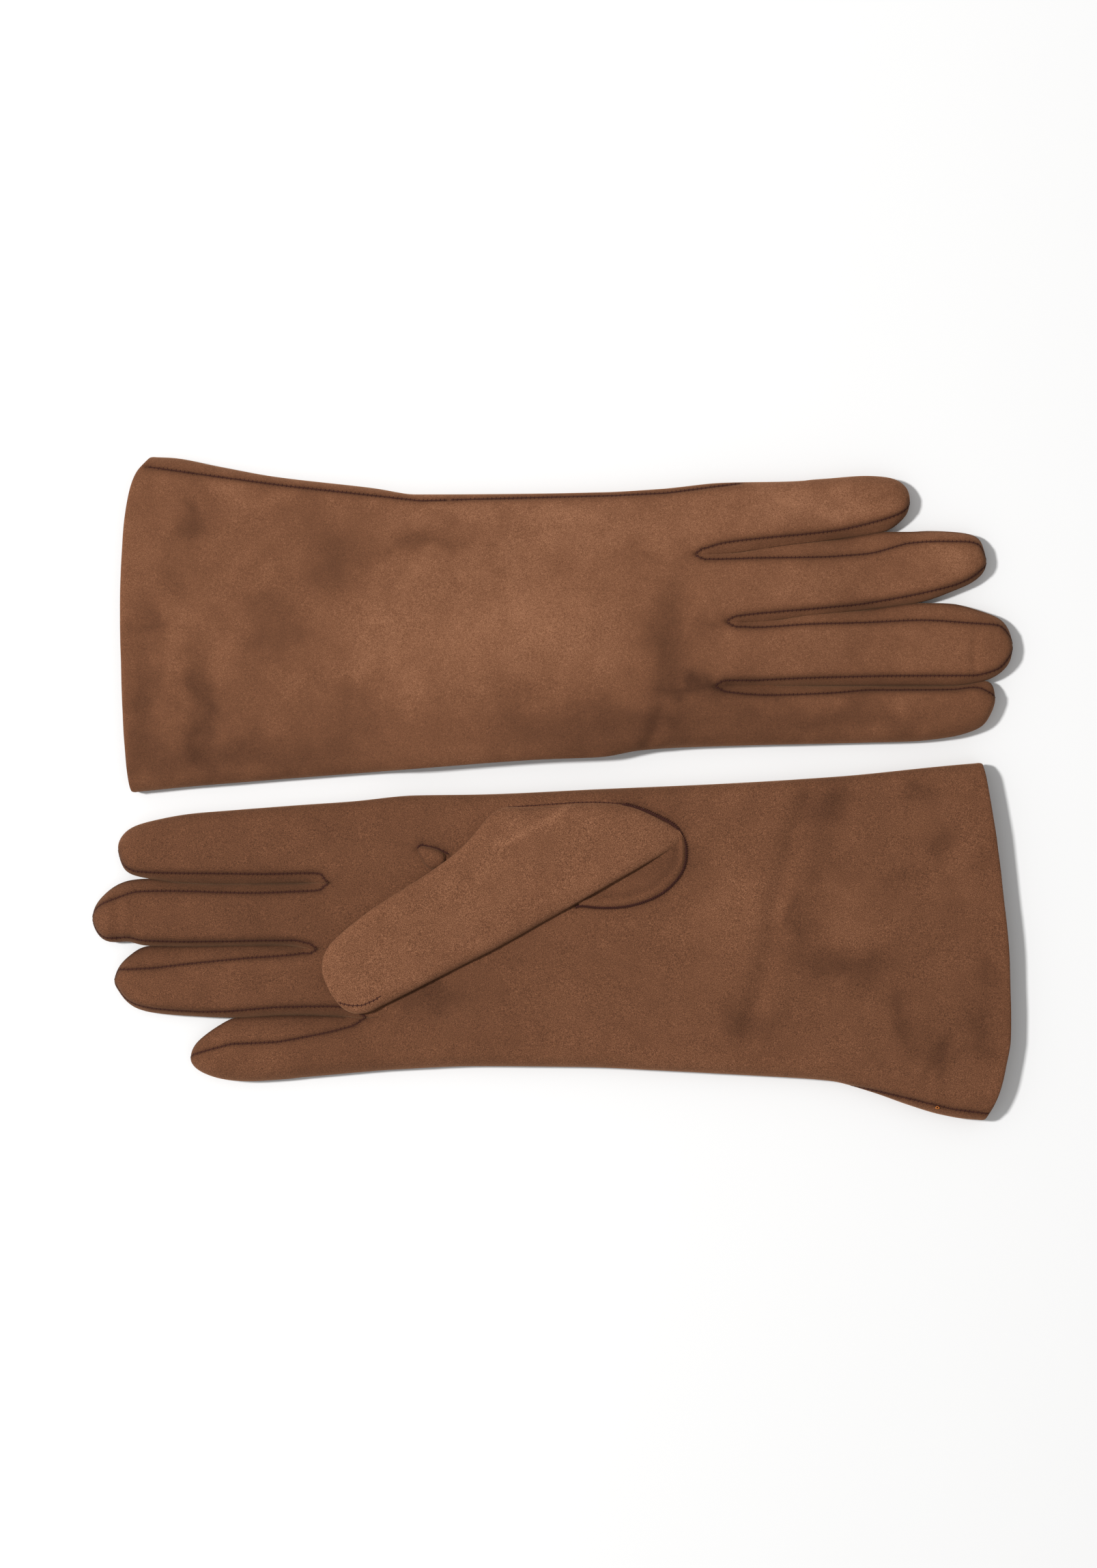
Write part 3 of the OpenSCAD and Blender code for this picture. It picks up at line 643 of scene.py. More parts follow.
# Soft bumps as (height, size, seed), then the dips and lips along the seams and creases: how high each
# is, how wide, and how far out from the line.
SKIN_BUMPS = [(0.34, 34, 0), (0.12, 11, 5)]
SKIN_SEED = {LEFT: 3.7, RIGHT: 11.3}
PUCKER_SIZE, PUCKER_SEED = 3.2, 9
SEAM_DIP, SEAM_DIP_WIDTH = 0.22, 2.2
SEAM_LIP, SEAM_LIP_WIDTH, SEAM_LIP_OUT = 0.1, 0.8, 1.5
SIDE_DIP, SIDE_DIP_WIDTH = 0.4, 0.55
SIDE_LIP, SIDE_LIP_WIDTH, SIDE_LIP_OUT = 0.12, 0.6, 1.1
CREASE_LIP, CREASE_LIP_WIDTH, CREASE_LIP_OUT = 0.4, 1.1, 1.9


def uneven(points, bumps, seed=0.0):
    """The heights of soft bumps added up."""
    return sum(height * soft_noise(points, size, 2, seed + own_seed) for height, size, own_seed in bumps)


def pushed_out(points, normals, move):
    """Points moved along their normals, kept above the table."""
    moved = points + normals * move[:, None]
    moved[:, 2] = np.maximum(moved[:, 2], FLOOR_GAP)
    return moved


def roughen(glove, points, faces):
    """Moves the skin a little along its normals: soft unevenness, creases, and puckers along the seams."""
    normals = point_normals(points, faces)
    plan = points[:, :2]
    top = np.clip(normals[:, 2] * 1.4, 0, 1)
    seed = SKIN_SEED[glove.side]
    move = top * uneven(points, SKIN_BUMPS, seed)
    for depth, width, line in CREASES[glove.side]:
        far = distance_to_line(plan, line)
        lip = CREASE_LIP * bell(far, CREASE_LIP_WIDTH * width, CREASE_LIP_OUT * width)
        move += top * depth * (lip - bell(far, width))
    pucker = 0.5 + 0.5 * soft_noise(points, PUCKER_SIZE, 1, seed + PUCKER_SEED)
    for line in seam_lines(glove, 1):
        far = distance_to_line(plan, line)
        move -= top * SEAM_DIP * pucker * bell(far, SEAM_DIP_WIDTH)
        move += top * SEAM_LIP * bell(far, SEAM_LIP_WIDTH, SEAM_LIP_OUT)
    far = distance_to_line(plan, side_seam_line(glove))
    lip = SIDE_LIP * bell(far, SIDE_LIP_WIDTH, SIDE_LIP_OUT)
    move -= top * (SIDE_DIP * bell(far, SIDE_DIP_WIDTH) - lip)
    return pushed_out(points, normals, move)


def seam_lines(glove, face):
    """The fourchette seams that show on a face, as plan polylines from the crotch to the fingertip."""
    lines = []
    for i, side in STRIPS:
        begin = glove.d["crotch"][face][i if side == 1 else i - 1] - 0.5
        points = []
        for run in np.linspace(begin, glove.end_run(i) - 0.8, SEAM_POINTS):
            a, b = glove.edges(i, run, run > FINGER_START[i])
            inset_low, inset_high = glove.insets(i, run, a, b, face)
            join = smooth_step((run - begin) / 3.0)
            points.append((glove.u_of(i, run), a + inset_low * join if side == -1 else b - inset_high * join))
        lines.append(points)
    return lines


def side_seam_line(glove):
    """The side seam where it shows, beside the little finger's edge."""
    return [(u, float(glove.little_edge(u)) - inset) for u, inset in glove.d["side_seam"]]


# ---- The thumb, in its own plan ----


def thumb_point(glove, p, q, rise):
    """A point of the thumb's plan in the glove's. rise is the height over the palm's face."""
    uv = turned([p, q], glove.d["thumb_angle"]) + np.array(glove.d["thumb_at"])
    z = 2 * HAND_HALF + rise if glove.side == RIGHT else PALM_UNDER - rise
    return np.array([uv[0], uv[1], z])


def plan_line(glove, points):
    """A line of the thumb's plan in the glove's."""
    return [tuple(thumb_point(glove, p, q, 0)[:2]) for p, q in points]


def thumb_runs():
    """Runs along the thumb, and the turn round its cap at each."""
    straight = [(p, 0.0) for p in np.arange(-51.5, THUMB_CAP, THUMB_STEP)]
    turns = np.linspace(0, math.pi / 2, CAP_ROWS + 1)
    return straight + [(THUMB_CAP + (THUMB_TIP - THUMB_CAP) * math.sin(t), t) for t in turns]


def thumb_row(glove, p, turn, across):
    """The thumb's top and underside at a run p: a hood over its foot, then a flattened tube."""
    fold, free = (smooth_line(line + [(THUMB_TIP, THUMB_TIP_Q)]) for line in (THUMB_FOLD, THUMB_FREE))
    high, low = float(fold(p)), float(free(p))
    if turn:
        cap_high, cap_low = float(fold(THUMB_CAP)), float(free(THUMB_CAP))
        middle = mix((cap_high + cap_low) / 2, THUMB_TIP_Q, math.sin(turn))
        reach = (cap_high - cap_low) / 2 * max(math.cos(turn), 0.0) ** 0.75
        high, low = middle + reach, middle - reach
    width = high - low
    loose = smooth_step((p + 9) / 12)
    rise = float(smooth_line(THUMB_TOP)(p))
    half = THUMB_HALF * max(math.cos(turn), 0.0) ** 0.6
    centre = mix(rise - THUMB_HALF, THUMB_CLEAR + THUMB_HALF, loose)
    q = low + across * width
    radius = min(THUMB_EDGE_RADIUS, width / 2)

    def fall(distance, reach):
        x = 1 - np.clip(distance / reach, 0, 1)
        return np.sqrt(np.clip(1 - x * x, 0, 1))

    fold_side = fall(high - q, radius)
    free_side = fall(q - low, mix(min(THUMB_FOOT_RADIUS, width * 0.45), radius, loose))
    crown = THUMB_CROWN * np.sin(np.pi * across)
    attached = mix(THUMB_SEWN_RISE, centre, loose)
    over_free = mix(attached, centre + half, free_side)
    sag = centre - THUMB_SAG * loose * smooth_step(across)
    top = sag + (over_free - sag) * fold_side + crown * fold_side * free_side * (half / THUMB_HALF)
    under = sag - (sag - centre + half) * fold_side * mix(1, free_side, loose)
    return [[thumb_point(glove, p, a, b) for a, b in zip(q, heights)] for heights in (top, under)]


def thumb_skin(glove):
    """The quads of the thumb: 0 is its base, which is sewn to the palm, and 1 is the thumb itself."""
    ends = np.array([0, 0.012, 0.045, 0.1, 0.18])
    across = np.concatenate([ends, np.linspace(0.27, 0.73, 7), 1 - ends[::-1]])
    runs = thumb_runs()
    tops, unders = zip(*(thumb_row(glove, p, turn, across) for p, turn in runs))
    first = next(k for k, (p, _) in enumerate(runs) if p > THUMB_LOOSE - 1)

    def piece(r, c):
        return int(runs[r][0] >= THUMB_LOOSE)

    quads = []
    add_grid(quads, tops, piece)
    add_grid(quads, unders[first:], lambda r, c: piece(r + first, c))
    add_grid(quads, [row[-7:] for row in unders[:first + 1]], piece)
    add_grid(quads, [[t[0], u[0]] for t, u in zip(tops, unders)][first:], lambda r, c: 1)
    return quads


def on_palm(glove, skin_tree, p, q, rise):
    """A point of the thumb's plan that stands rise mm off the palm's own surface."""
    u, v, _ = thumb_point(glove, p, q, 0)
    outward = 1 if glove.side == RIGHT else -1
    hit, _ = surface_point(skin_tree, u, v, glove.side == RIGHT)
    return np.array([u, v, hit[2] + outward * rise])


def thumb_flap(glove, skin_tree):
    """The part of the thumb's leather that lies flat on the palm between its fold and the oval seam."""
    rows = []
    for a in evenly(rounded(OVAL_LOW_ARC), 2.0):
        b = np.array([a[0] * 0.92 - 2, 17.0])
        row = []
        for t in np.linspace(0, 1, 14) ** 1.4:
            far_in = t * float(np.linalg.norm(b - a))
            rise = FLAP_RISE * math.sqrt(min(1, far_in / 2.0 + 0.02))
            rise += FLAP_RIDGE * bell(far_in, FLAP_RIDGE_WIDTH, FLAP_RIDGE_IN)
            row.append(on_palm(glove, skin_tree, *mix(a, b, t), rise))
        rows.append(row)
    return one_piece(rows)


def quirk_skin(glove, skin_tree):
    """A small pointed dome of suede that comes out from under the thumb's free edge."""
    outline = np.array(QUIRK_EDGE + QUIRK_EDGE[:1], float)
    middle = np.array(QUIRK_MIDDLE, float)
    rows = []
    for share in (1, 0.9, 0.72, 0.5, 0.25, 0.02):
        rise = QUIRK_RISE * math.sqrt(1 - share**3) - 0.05
        ring = middle + (outline - middle) * share
        rows.append([on_palm(glove, skin_tree, p, q, rise) for p, q in ring])
    return one_piece(rows)


def thumb_lining(glove):
    """The silk inside the thumb."""
    fold, free = smooth_line(THUMB_FOLD), smooth_line(THUMB_FREE)
    rows = []
    for p in np.linspace(-4, 74, 30):
        high, low = float(fold(p)) - LINING_IN, float(free(p)) + LINING_IN
        round_off = math.sqrt(max(0.05, 1 - max(0, (p - 66) / 8.6) ** 2))
        ring = []
        for t in np.linspace(0, 2 * math.pi, 25):
            across = math.copysign(abs(math.cos(t)) ** 0.5, math.cos(t))
            ring.append(thumb_point(glove, p, (high + low) / 2 + across * (high - low) / 2 * round_off,
                                    THUMB_CLEAR + THUMB_HALF + 0.8 * math.sin(t)))
        rows.append(ring)
    return one_piece(rows)


# ---- Making objects ----

# How the glove's plan is turned in the frame, and how strongly the light picks out its nap.
FLIP = {LEFT: 1, RIGHT: -1}
NAP_CONTRAST = {LEFT: 1.9, RIGHT: 3.3}


def to_frame(vectors, side):
    """From a glove's plan to the frame, both in mm."""
    return vectors * np.array([FLIP[side], FLIP[side], 1])


def make_object(name, points, faces, side, material, node=None, normals=None, tone=None):
    """One piece, in place of the CAD node that it replaces and hides, if it has one."""
    mesh = bpy.data.meshes.new(name)
    mesh.from_pydata([tuple(p) for p in to_frame(points, side) * MM], [], faces)
    for polygon in mesh.polygons:
        polygon.use_smooth = True
    if tone is not None:
        nap = np.full(len(points), NAP_CONTRAST[side])
        for key, values in (("tone", tone), ("nap", nap)):
            attribute = mesh.attributes.new(key, "FLOAT", "POINT")
            attribute.data.foreach_set("value", values.astype(np.float32))
    if normals is not None:
        mesh.normals_split_custom_set_from_vertices([tuple(n) for n in to_frame(normals, side)])
    mesh.materials.append(material)
    obj = bpy.data.objects.new(name, mesh)
    bpy.context.scene.collection.objects.link(obj)
    if node:
        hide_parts(node)
    return obj


def cut_pieces(side, names, points, faces, pieces, tone):
    """The sewn pieces of a whole skin, whose shading still runs on across their edges."""
    normals = point_normals(points, faces)
    made = {}
    for number, name in enumerate(names):
        chosen = [f for f, p in zip(faces, pieces) if p == number]
        used = sorted({k for f in chosen for k in f})
        where = {k: n for n, k in enumerate(used)}
        # The fourchettes also get painted shade towards the crease between the fingers.
        shade = fourchette_shade(points) if "fourchette" in name else 1.0
        kept_faces = [tuple(where[k] for k in f) for f in chosen]
        made[name] = make_object(f"{side}_{name}_suede", points[used], kept_faces, side, SUEDE,
                                 f"{side}_{name}", normals[used], (tone * shade)[used])
    return made


# ---- Materials ----


def srgb(*levels):
    """A colour given as 0 to 255 display values, as linear numbers."""
    return tuple(((c / 255 + 0.055) / 1.055) ** 2.4 if c > 10 else c / 255 / 12.92 for c in levels) + (1.0,)


def feed(tree, socket, value):
    """Sets a socket to a value, or links it to another node's output."""
    if isinstance(value, bpy.types.NodeSocket):
        tree.links.new(value, socket)
    else:
        socket.default_value = value


def set_inputs(tree, node, **inputs):
    for key, value in inputs.items():
        feed(tree, node.inputs[key.replace("_", " ")], value)
    return node


def node_of(tree, kind, **inputs):
    return set_inputs(tree, tree.nodes.new(kind), **inputs)


def noise_of(tree, where, scale, detail, roughness, distortion=0.0):
    return node_of(tree, "ShaderNodeTexNoise", Vector=where, Scale=scale, Detail=detail, Roughness=roughness,
                   Distortion=distortion).outputs["Fac"]


def attribute_of(tree, name):
    node = tree.nodes.new("ShaderNodeAttribute")
    node.attribute_name = name
    return node.outputs["Fac"]


def math_of(tree, operation, *values):
    node = tree.nodes.new("ShaderNodeMath")
    node.operation = operation
    for socket, value in zip(node.inputs, values):
        feed(tree, socket, value)
    return node.outputs[0]


def spread_of(tree, value, low, high):
    """Noise, most of which is between 0.3 and 0.7, spread from low to high."""
    return node_of(tree, "ShaderNodeMapRange", Value=value, From_Min=0.3, From_Max=0.7, To_Min=low,
                   To_Max=high).outputs["Result"]


def ramp_of(tree, value, *stops):
    """A colour ramp through stops of (position, colour)."""
    node = node_of(tree, "ShaderNodeValToRGB", Fac=value)
    elements = node.color_ramp.elements
    for element, (position, colour) in zip(elements, (stops[0], stops[-1])):
        element.position = position
        element.color = colour
    for position, colour in stops[1:-1]:
        elements.new(position).color = colour
    return node.outputs["Color"]


def bump_of(tree, height, strength, distance):
    node = node_of(tree, "ShaderNodeBump", Strength=strength, Distance=distance, Height=height)
    return node.outputs["Normal"]


def set_shader(tree, **inputs):
    set_inputs(tree, tree.nodes["Principled BSDF"], **inputs)


def new_material(name):
    """A new material, its tree and its object coordinates."""
    material = bpy.data.materials.new(name)
    material.use_nodes = True
    tree = material.node_tree
    return material, tree, tree.nodes.new("ShaderNodeTexCoord").outputs["Object"]


def suede_material():
    """Brushed suede: flecked nap, mottled where it has been stroked either way, and a soft sheen."""
    material, tree, where = new_material("suede")
    patches = noise_of(tree, where, 26, 4, 0.55, 0.5)
    clouds = noise_of(tree, where, 130, 4, 0.6, 0.3)
    nap = noise_of(tree, where, 1100, 3, 0.65)
    fleck = noise_of(tree, where, 3400, 2, 0.6)
    value = attribute_of(tree, "tone")
    for mottling, low, high in ((patches, 0.9, 1.1), (clouds, 0.92, 1.08), (nap, 0.88, 1.12)):
        value = math_of(tree, "MULTIPLY", value, spread_of(tree, mottling, low, high))
    flecks = math_of(tree, "MULTIPLY", math_of(tree, "SUBTRACT", fleck, 0.5), attribute_of(tree, "nap"))
    value = math_of(tree, "MULTIPLY", value, math_of(tree, "ADD", flecks, 1.02))
    colour = ramp_of(tree, math_of(tree, "MULTIPLY", value, 0.5),
                     (0, srgb(38, 20, 12)), (0.5, srgb(108, 70, 48)), (1, srgb(156, 110, 82)))
    height = math_of(tree, "ADD", math_of(tree, "MULTIPLY", nap, 0.6), math_of(tree, "MULTIPLY", fleck, 0.5))
    set_shader(tree, Base_Color=colour, Normal=bump_of(tree, height, 0.55, 0.00022), Roughness=0.95,
               Specular_IOR_Level=0.12, Sheen_Weight=0.35, Sheen_Roughness=0.45,
               Sheen_Tint=srgb(212, 162, 124))
    return material


def silk_material():
    """Thin woven silk."""
    material, tree, where = new_material("silk_lining")
    waves = []
    for direction in ("X", "Y"):
        wave = node_of(tree, "ShaderNodeTexWave", Vector=where, Scale=900)
        wave.bands_direction = direction
        waves.append(wave.outputs["Fac"])
    weave = math_of(tree, "MULTIPLY", *waves)
    colour = ramp_of(tree, weave, (0, srgb(74, 56, 42)), (1, srgb(112, 88, 68)))
    set_shader(tree, Base_Color=colour, Normal=bump_of(tree, weave, 0.3, 0.0001), Roughness=0.62,
               Specular_IOR_Level=0.15, Sheen_Weight=0.12, Sheen_Tint=srgb(150, 116, 88))
    return material


def thread_material(name, dark, light):
    """Twisted sewing thread."""
    material, tree, where = new_material(name)
    fibre = noise_of(tree, where, 3500, 3, 0.6)
    set_shader(tree, Base_Color=ramp_of(tree, fibre, (0.3, dark), (0.7, light)), Roughness=0.9,
               Normal=bump_of(tree, fibre, 0.4, 0.0001), Specular_IOR_Level=0.08)
    return material


SUEDE = suede_material()
SILK = silk_material()
THREAD = thread_material("thread", srgb(40, 20, 16), srgb(72, 42, 36))
KNOT_THREAD = thread_material("knot_thread", srgb(140, 78, 36), srgb(188, 116, 60))

# ---- Tone of the suede, as brushed, and painted shade along its seams and creases ----

# Broad tone along each glove, and soft spots (x, y, radius x, radius y, change) in the frame, in mm.
TONE_ALONG = {
    LEFT: [(-160, 0.9), (-110, 0.94), (-82, 0.93), (-60, 1.05), (-20, 1.08), (20, 1.04), (60, 0.98),
           (110, 1.0), (165, 0.98)],
    RIGHT: [(-165, 0.78), (-100, 0.77), (-40, 0.8), (20, 0.76), (60, 0.72), (90, 0.67), (165, 0.68)],
}
TONE_SPOTS = {
    LEFT: [
        # Painted shade: the darker spots at (-143, 57), (-141, 29) and (-122, 28) lie in the gauntlet's
        # folds, (39, 50) in the knuckle fold, (36, 18) in the wrinkle by the index, and (54, 58.5), (50, 36)
        # and (38, 80) in the creases from the crotches.
        (-143, 57, 5, 7, -0.26), (-141, 29, 5, 16, -0.26), (-122, 28, 6, 18, -0.34), (-127, 96, 6, 9, -0.32),
        (-110, 8, 60, 9, -0.3), (-99, 59, 10, 9, -0.2), (-76, 79, 14, 12, -0.26), (-130, 72, 6, 6, -0.16),
        (-45, 86, 16, 5, -0.3), (-62, 24, 24, 12, -0.24),
        (10, 20, 40, 14, -0.38), (39, 50, 8, 20, -0.28), (52, 37, 12, 5, -0.3), (100, 24, 50, 9, -0.32),
        (-128, 62, 8, 14, 0.1), (-60, 60, 24, 22, 0.1), (-10, 55, 30, 20, 0.1), (10, 90, 34, 10, 0.16),
        (95, 99, 26, 6, 0.3), (140, 86, 12, 8, 0.2), (110, 70, 34, 6, 0.1), (-104, 104, 40, 4, 0.12),
        (38, 80, 11, 2.2, -0.13), (54, 58.5, 6, 1.8, -0.16), (50, 36, 8, 2.2, -0.16), (36, 18, 9, 7, -0.14),
    ],
    RIGHT: [
        # Painted shade: the darker spots at (104, -62), (124, -79) and (134, -95) lie along folds in the
        # gauntlet.
        (92, -38, 6, 30, -0.1), (99, -8, 9, 7, -0.22), (125, -3, 7, 5, -0.22), (136, -22, 5, 8, -0.18),
        (119, -32, 6, 6, -0.12), (104, -62, 16, 8, -0.24), (124, -79, 6, 10, -0.2), (82, -46, 5, 8, -0.22),
        (65, -82, 10, 7, -0.18), (134, -95, 4, 9, -0.26), (151, -65, 4, 6, -0.16), (147, -82, 5, 6, -0.18),
        (65, -42, 12, 16, 0.1), (107, -45, 14, 9, 0.1), (145, -32, 6, 10, 0.12), (-120, -68, 24, 5, 0.1),
        (30, -20, 22, 18, -0.16), (-20, -12, 14, 5, 0.1), (-60, -30, 16, 12, 0.05), (-110, -60, 34, 3, 0.12),
        (-112, -90, 20, 6, 0.1), (-40, -72, 12, 7, -0.22),
    ],
}
PATCH_STRENGTH = 1.3
PATCH_RAGGED, PATCH_GRAIN, PATCH_SEEDS = 7.0, 14, (31.0, 47.0)
# Along each seam: a narrow dark band in the seam, then painted shade, wider and softer, beside it.
SEAM_DARK, SEAM_DARK_WIDTH = 0.4, 0.6
PAINTED_SEAM_SHADE, PAINTED_SEAM_SHADE_WIDTH = 0.26, 1.8
THUMB_TONE = {LEFT: 0.9, RIGHT: 0.97}


def seam_shade(glove, points, normals):
    """How dark the suede is painted along the seams, the oval's rope and the quirk's sewn edge: a narrow dark
    band in each seam, and painted shade, wider and softer, beside it; 1 away from them.
    """
    lines = {face: seam_lines(glove, face) for face in (1, -1)}
    lines[1].append(side_seam_line(glove))
    palm = 1 if glove.side == RIGHT else -1
    lines[palm] += [plan_line(glove, rounded(OVAL_ROPE)), plan_line(glove, QUIRK_EDGE[:QUIRK_SEWN])]
    shade = np.ones(len(points))
    for face in (1, -1):
        facing = normals[:, 2] * face > 0.15
        for line in lines[face]:
            far = distance_to_line(points[:, :2], line)
            dark = 1 - SEAM_DARK * bell(far, SEAM_DARK_WIDTH) - PAINTED_SEAM_SHADE * bell(far, PAINTED_SEAM_SHADE_WIDTH)
            shade = np.where(facing, np.minimum(shade, dark), shade)
    return shade


def fourchette_shade(points):
    """Painted shade on the fourchettes, darkest down in the crease between the fingers."""
    rise = np.abs(points[:, 2] - FINGER_HALF)
    return mix(0.3, 1.0, smooth_step(rise / 1.5)) * mix(0.8, 0.98, smooth_step(rise / FINGER_HALF))


def tone_at(glove, points):
    """The suede's tone at points of the glove's plan."""
    tone = smooth_line(TONE_ALONG[glove.side])(points[:, 0])
    ragged = PATCH_RAGGED * np.stack([soft_noise(points, PATCH_GRAIN, 4, seed) for seed in PATCH_SEEDS], -1)
    for x, y, rx, ry, change in TONE_SPOTS[glove.side]:
        far = (points[:, :2] * FLIP[glove.side] + ragged - (x, y)) / (rx, ry)
        tone = tone + PATCH_STRENGTH * change * np.exp(-(far**2).sum(1))
    return tone


# ---- Stitches ----

STITCH_PITCH = 1.5
SEAM_STEP = 0.75
SEAM_POINTS = 60
SIDE_SEAM_KNOT = (-134.5, 111.4)
KNOT_TURNS = 2.6
KNOT_SIZE = 0.55
KNOT_THREAD_RADIUS = 0.17
FAR_OFF = 60
JUST_ABOVE, JUST_BELOW = 12, -2
TICK = [(-1.0, 0.35), (-0.6, 0.85), (0, 1.0), (0.6, 0.85), (1.0, 0.35)]


def surface_point(tree, u, v, down):
    """Where a vertical line meets a skin, and its normal there. down is true from above."""
    way = -1 if down else 1
    hit, normal, _, _ = tree.ray_cast(Vector((u, v, -way * FAR_OFF)), Vector((0, 0, way)))
    if hit is None:
        hit, normal, _, _ = tree.find_nearest(Vector((u, v, JUST_ABOVE if down else JUST_BELOW)))
    return np.array(hit), np.array(normal)


def tube_along(points, normals, radius, sides=5):
    """Quads of a thin round thread through points."""
    points = np.array(points)
    tangents = np.gradient(points, axis=0)
    tangents /= np.maximum(np.linalg.norm(tangents, axis=1), 1e-9)[:, None]
    across = np.cross(tangents, normals)
    across /= np.maximum(np.linalg.norm(across, axis=1), 1e-9)[:, None]
    lift = np.cross(across, tangents)
    verts, faces = [], []
    for k, (p, a, n) in enumerate(zip(points, across, lift)):
        for j in range(sides):
            t = 2 * math.pi * j / sides
            verts.append(p + radius * (math.cos(t) * a + math.sin(t) * n))
            if k:
                o, w = (k - 1) * sides, k * sides
                faces.append((o + j, o + (j + 1) % sides, w + (j + 1) % sides, w + j))
    faces.append(tuple(range(sides))[::-1])
    faces.append(tuple(len(verts) - sides + j for j in range(sides)))
    return verts, faces


def add_part(store, verts, faces):
    """Adds a part's points and faces to those of an object."""
    base = len(store[0])
    store[0].extend(verts)
    store[1].extend(tuple(k + base for k in f) for f in faces)


def add_seam(store, tree, line, down=True, half_tick=0.52, thick=0.16, pitch=STITCH_PITCH, slant=0.22,
             line_radius=0.2, sunk=0.05):
    """A seam: one thread in the join and a slanted tick over it every pitch."""
    fine = evenly(line, SEAM_STEP)
    hits = [surface_point(tree, u, v, down) for u, v in fine[:, :2]]
    spots = np.array([h[0] for h in hits])
    normals = np.array([h[1] for h in hits])
    add_part(store, *tube_along(spots - normals * sunk, normals, line_radius))
    step = max(1, int(round(pitch / SEAM_STEP)))
    for k in range(1, len(spots) - 1, step):
        along = spots[k + 1] - spots[k - 1]
        along /= max(np.linalg.norm(along), 1e-9)
        n = normals[k]
        across = np.cross(n, along)
        across = across / max(np.linalg.norm(across), 1e-9) + slant * along
        middle = spots[k] + n * (thick * 0.4 - sunk)
        ends = [middle + across * half_tick * t + n * 0.12 * (h - 1.0) for t, h in TICK]
        add_part(store, *tube_along(ends, [n] * len(ends), thick))


def thread_object(name, store, side, material=THREAD, node=None):
    return make_object(name, np.array(store[0]), store[1], side, material, node)


def knot(tree, u, v):
    """A small loose knot of lighter thread that stands on the side seam."""
    middle, normal = surface_point(tree, u, v, True)
    turns = np.linspace(0, 2 * math.pi * KNOT_TURNS, 40)
    loops = [middle + (KNOT_SIZE * math.cos(t) * (1 + 0.3 * math.sin(3 * t)),
                       0.7 * KNOT_SIZE * math.sin(t), 0.35 + 0.2 * math.sin(2.4 * t)) for t in turns]
    store = ([], [])
    add_part(store, *tube_along(loops, [normal] * len(loops), KNOT_THREAD_RADIUS))
    return thread_object("right_side_seam_knot", store, RIGHT, KNOT_THREAD)


def side_stitching(glove, skin_tree, stitches):
    """The side seam, which runs on round to the underside towards the little finger."""
    seen = evenly(side_seam_line(glove), SEAM_STEP)
    add_seam(stitches["gauntlet"], skin_tree, [p for p in seen if p[0] <= HAND_START])
    rest = [p for p in seen if p[0] >= HAND_START]
    if len(rest) > 3:
        add_seam(stitches["hand"], skin_tree, rest)
    start, root = seen[-1][0] + 1, FINGER_START[LITTLE]
    for key, a, b in (("gauntlet", start, HAND_START), ("hand", max(start, HAND_START), root)):
        if b - a > 4:
            under = [(u, float(glove.little_edge(u)) - mix(0.6, 2.0, min(1, (u - start) / 25)))
                     for u in np.linspace(a, b, 40)]
            add_seam(stitches[key], skin_tree, under, False)
    runs = np.linspace(max(root, start), glove.end_run(LITTLE) - 5, 40)
    edges = [float((glove.highs[LITTLE] if run > LITTLE_FREE else glove.little_edge)(run)) for run in runs]
    under = [(glove.u_of(LITTLE, run), edge - 2.0) for run, edge in zip(runs, edges)]
    add_seam(stitches["little"], skin_tree, under, False)


def thumb_stitching(glove, skin_tree, store):
    """The seams round the thumb's foot: the raised oval, its run under the thumb, and the quirk's edge."""
    from_above = glove.side == RIGHT
    rope, fold = (plan_line(glove, rounded(line)) for line in (OVAL_ROPE, OVAL_FOLD))
    add_seam(store, skin_tree, rope, from_above, half_tick=0.64, thick=0.2, pitch=SEAM_STEP, slant=1.1,
             line_radius=0.26, sunk=-0.05)
    add_seam(store, skin_tree, fold, from_above, half_tick=0.2, line_radius=0.16)
    quirk = plan_line(glove, QUIRK_EDGE[:QUIRK_SEWN])
    add_seam(store, skin_tree, quirk, from_above, half_tick=0.5, line_radius=0.3)


def thumb_tip_thread(glove, thumb_tree):
    """The short row of stitches at the thumb's tip."""
    at, angle = LAYOUT[RIGHT]["thumb_at"], LAYOUT[RIGHT]["thumb_angle"]
    line = plan_line(glove, turned(np.array(THUMB_TIP_SEAM) - at, -angle))
    store = ([], [])
    add_seam(store, thumb_tree, line, glove.side == RIGHT)
    return thread_object(f"{glove.side}_thumb_tip_thread", store, glove.side)


def stitching(glove, skin_tree):
    """The thread of each bending part, by the part's name."""
    stitches = {key: ([], []) for key in ("gauntlet", "hand", *FINGERS)}
    for face in (1, -1):
        for (i, _), line in zip(STRIPS, seam_lines(glove, face)):
            add_seam(stitches[FINGERS[i]], skin_tree, line, face == 1)
    side_stitching(glove, skin_tree, stitches)
    thumb_stitching(glove, skin_tree, stitches["hand"])
    names = {key: f"{key}_stitching" for key in stitches}
    return {name: thread_object(f"{glove.side}_{name}_thread", stitches[key], glove.side,
                                node=f"{glove.side}_{name}") for key, name in names.items()}


# ---- Building a glove ----

THUMB_BUMPS = [(0.28, 26, 21.0), (0.1, 8, 2.0)]


def tree_of(points, faces):
    return BVHTree.FromPolygons([tuple(p) for p in points], faces)


def make_trank(glove):
    """The suede of the gauntlet, the hand and the fingers: its pieces, and its surface as a tree."""
    points, faces, pieces = welded_mesh(f"{glove.side}_skin", glove_skin(glove))
    points = roughen(glove, points, faces)
    tone = tone_at(glove, points) * seam_shade(glove, points, point_normals(points, faces))
    return cut_pieces(glove.side, PIECES, points, faces, pieces, tone), tree_of(points, faces)


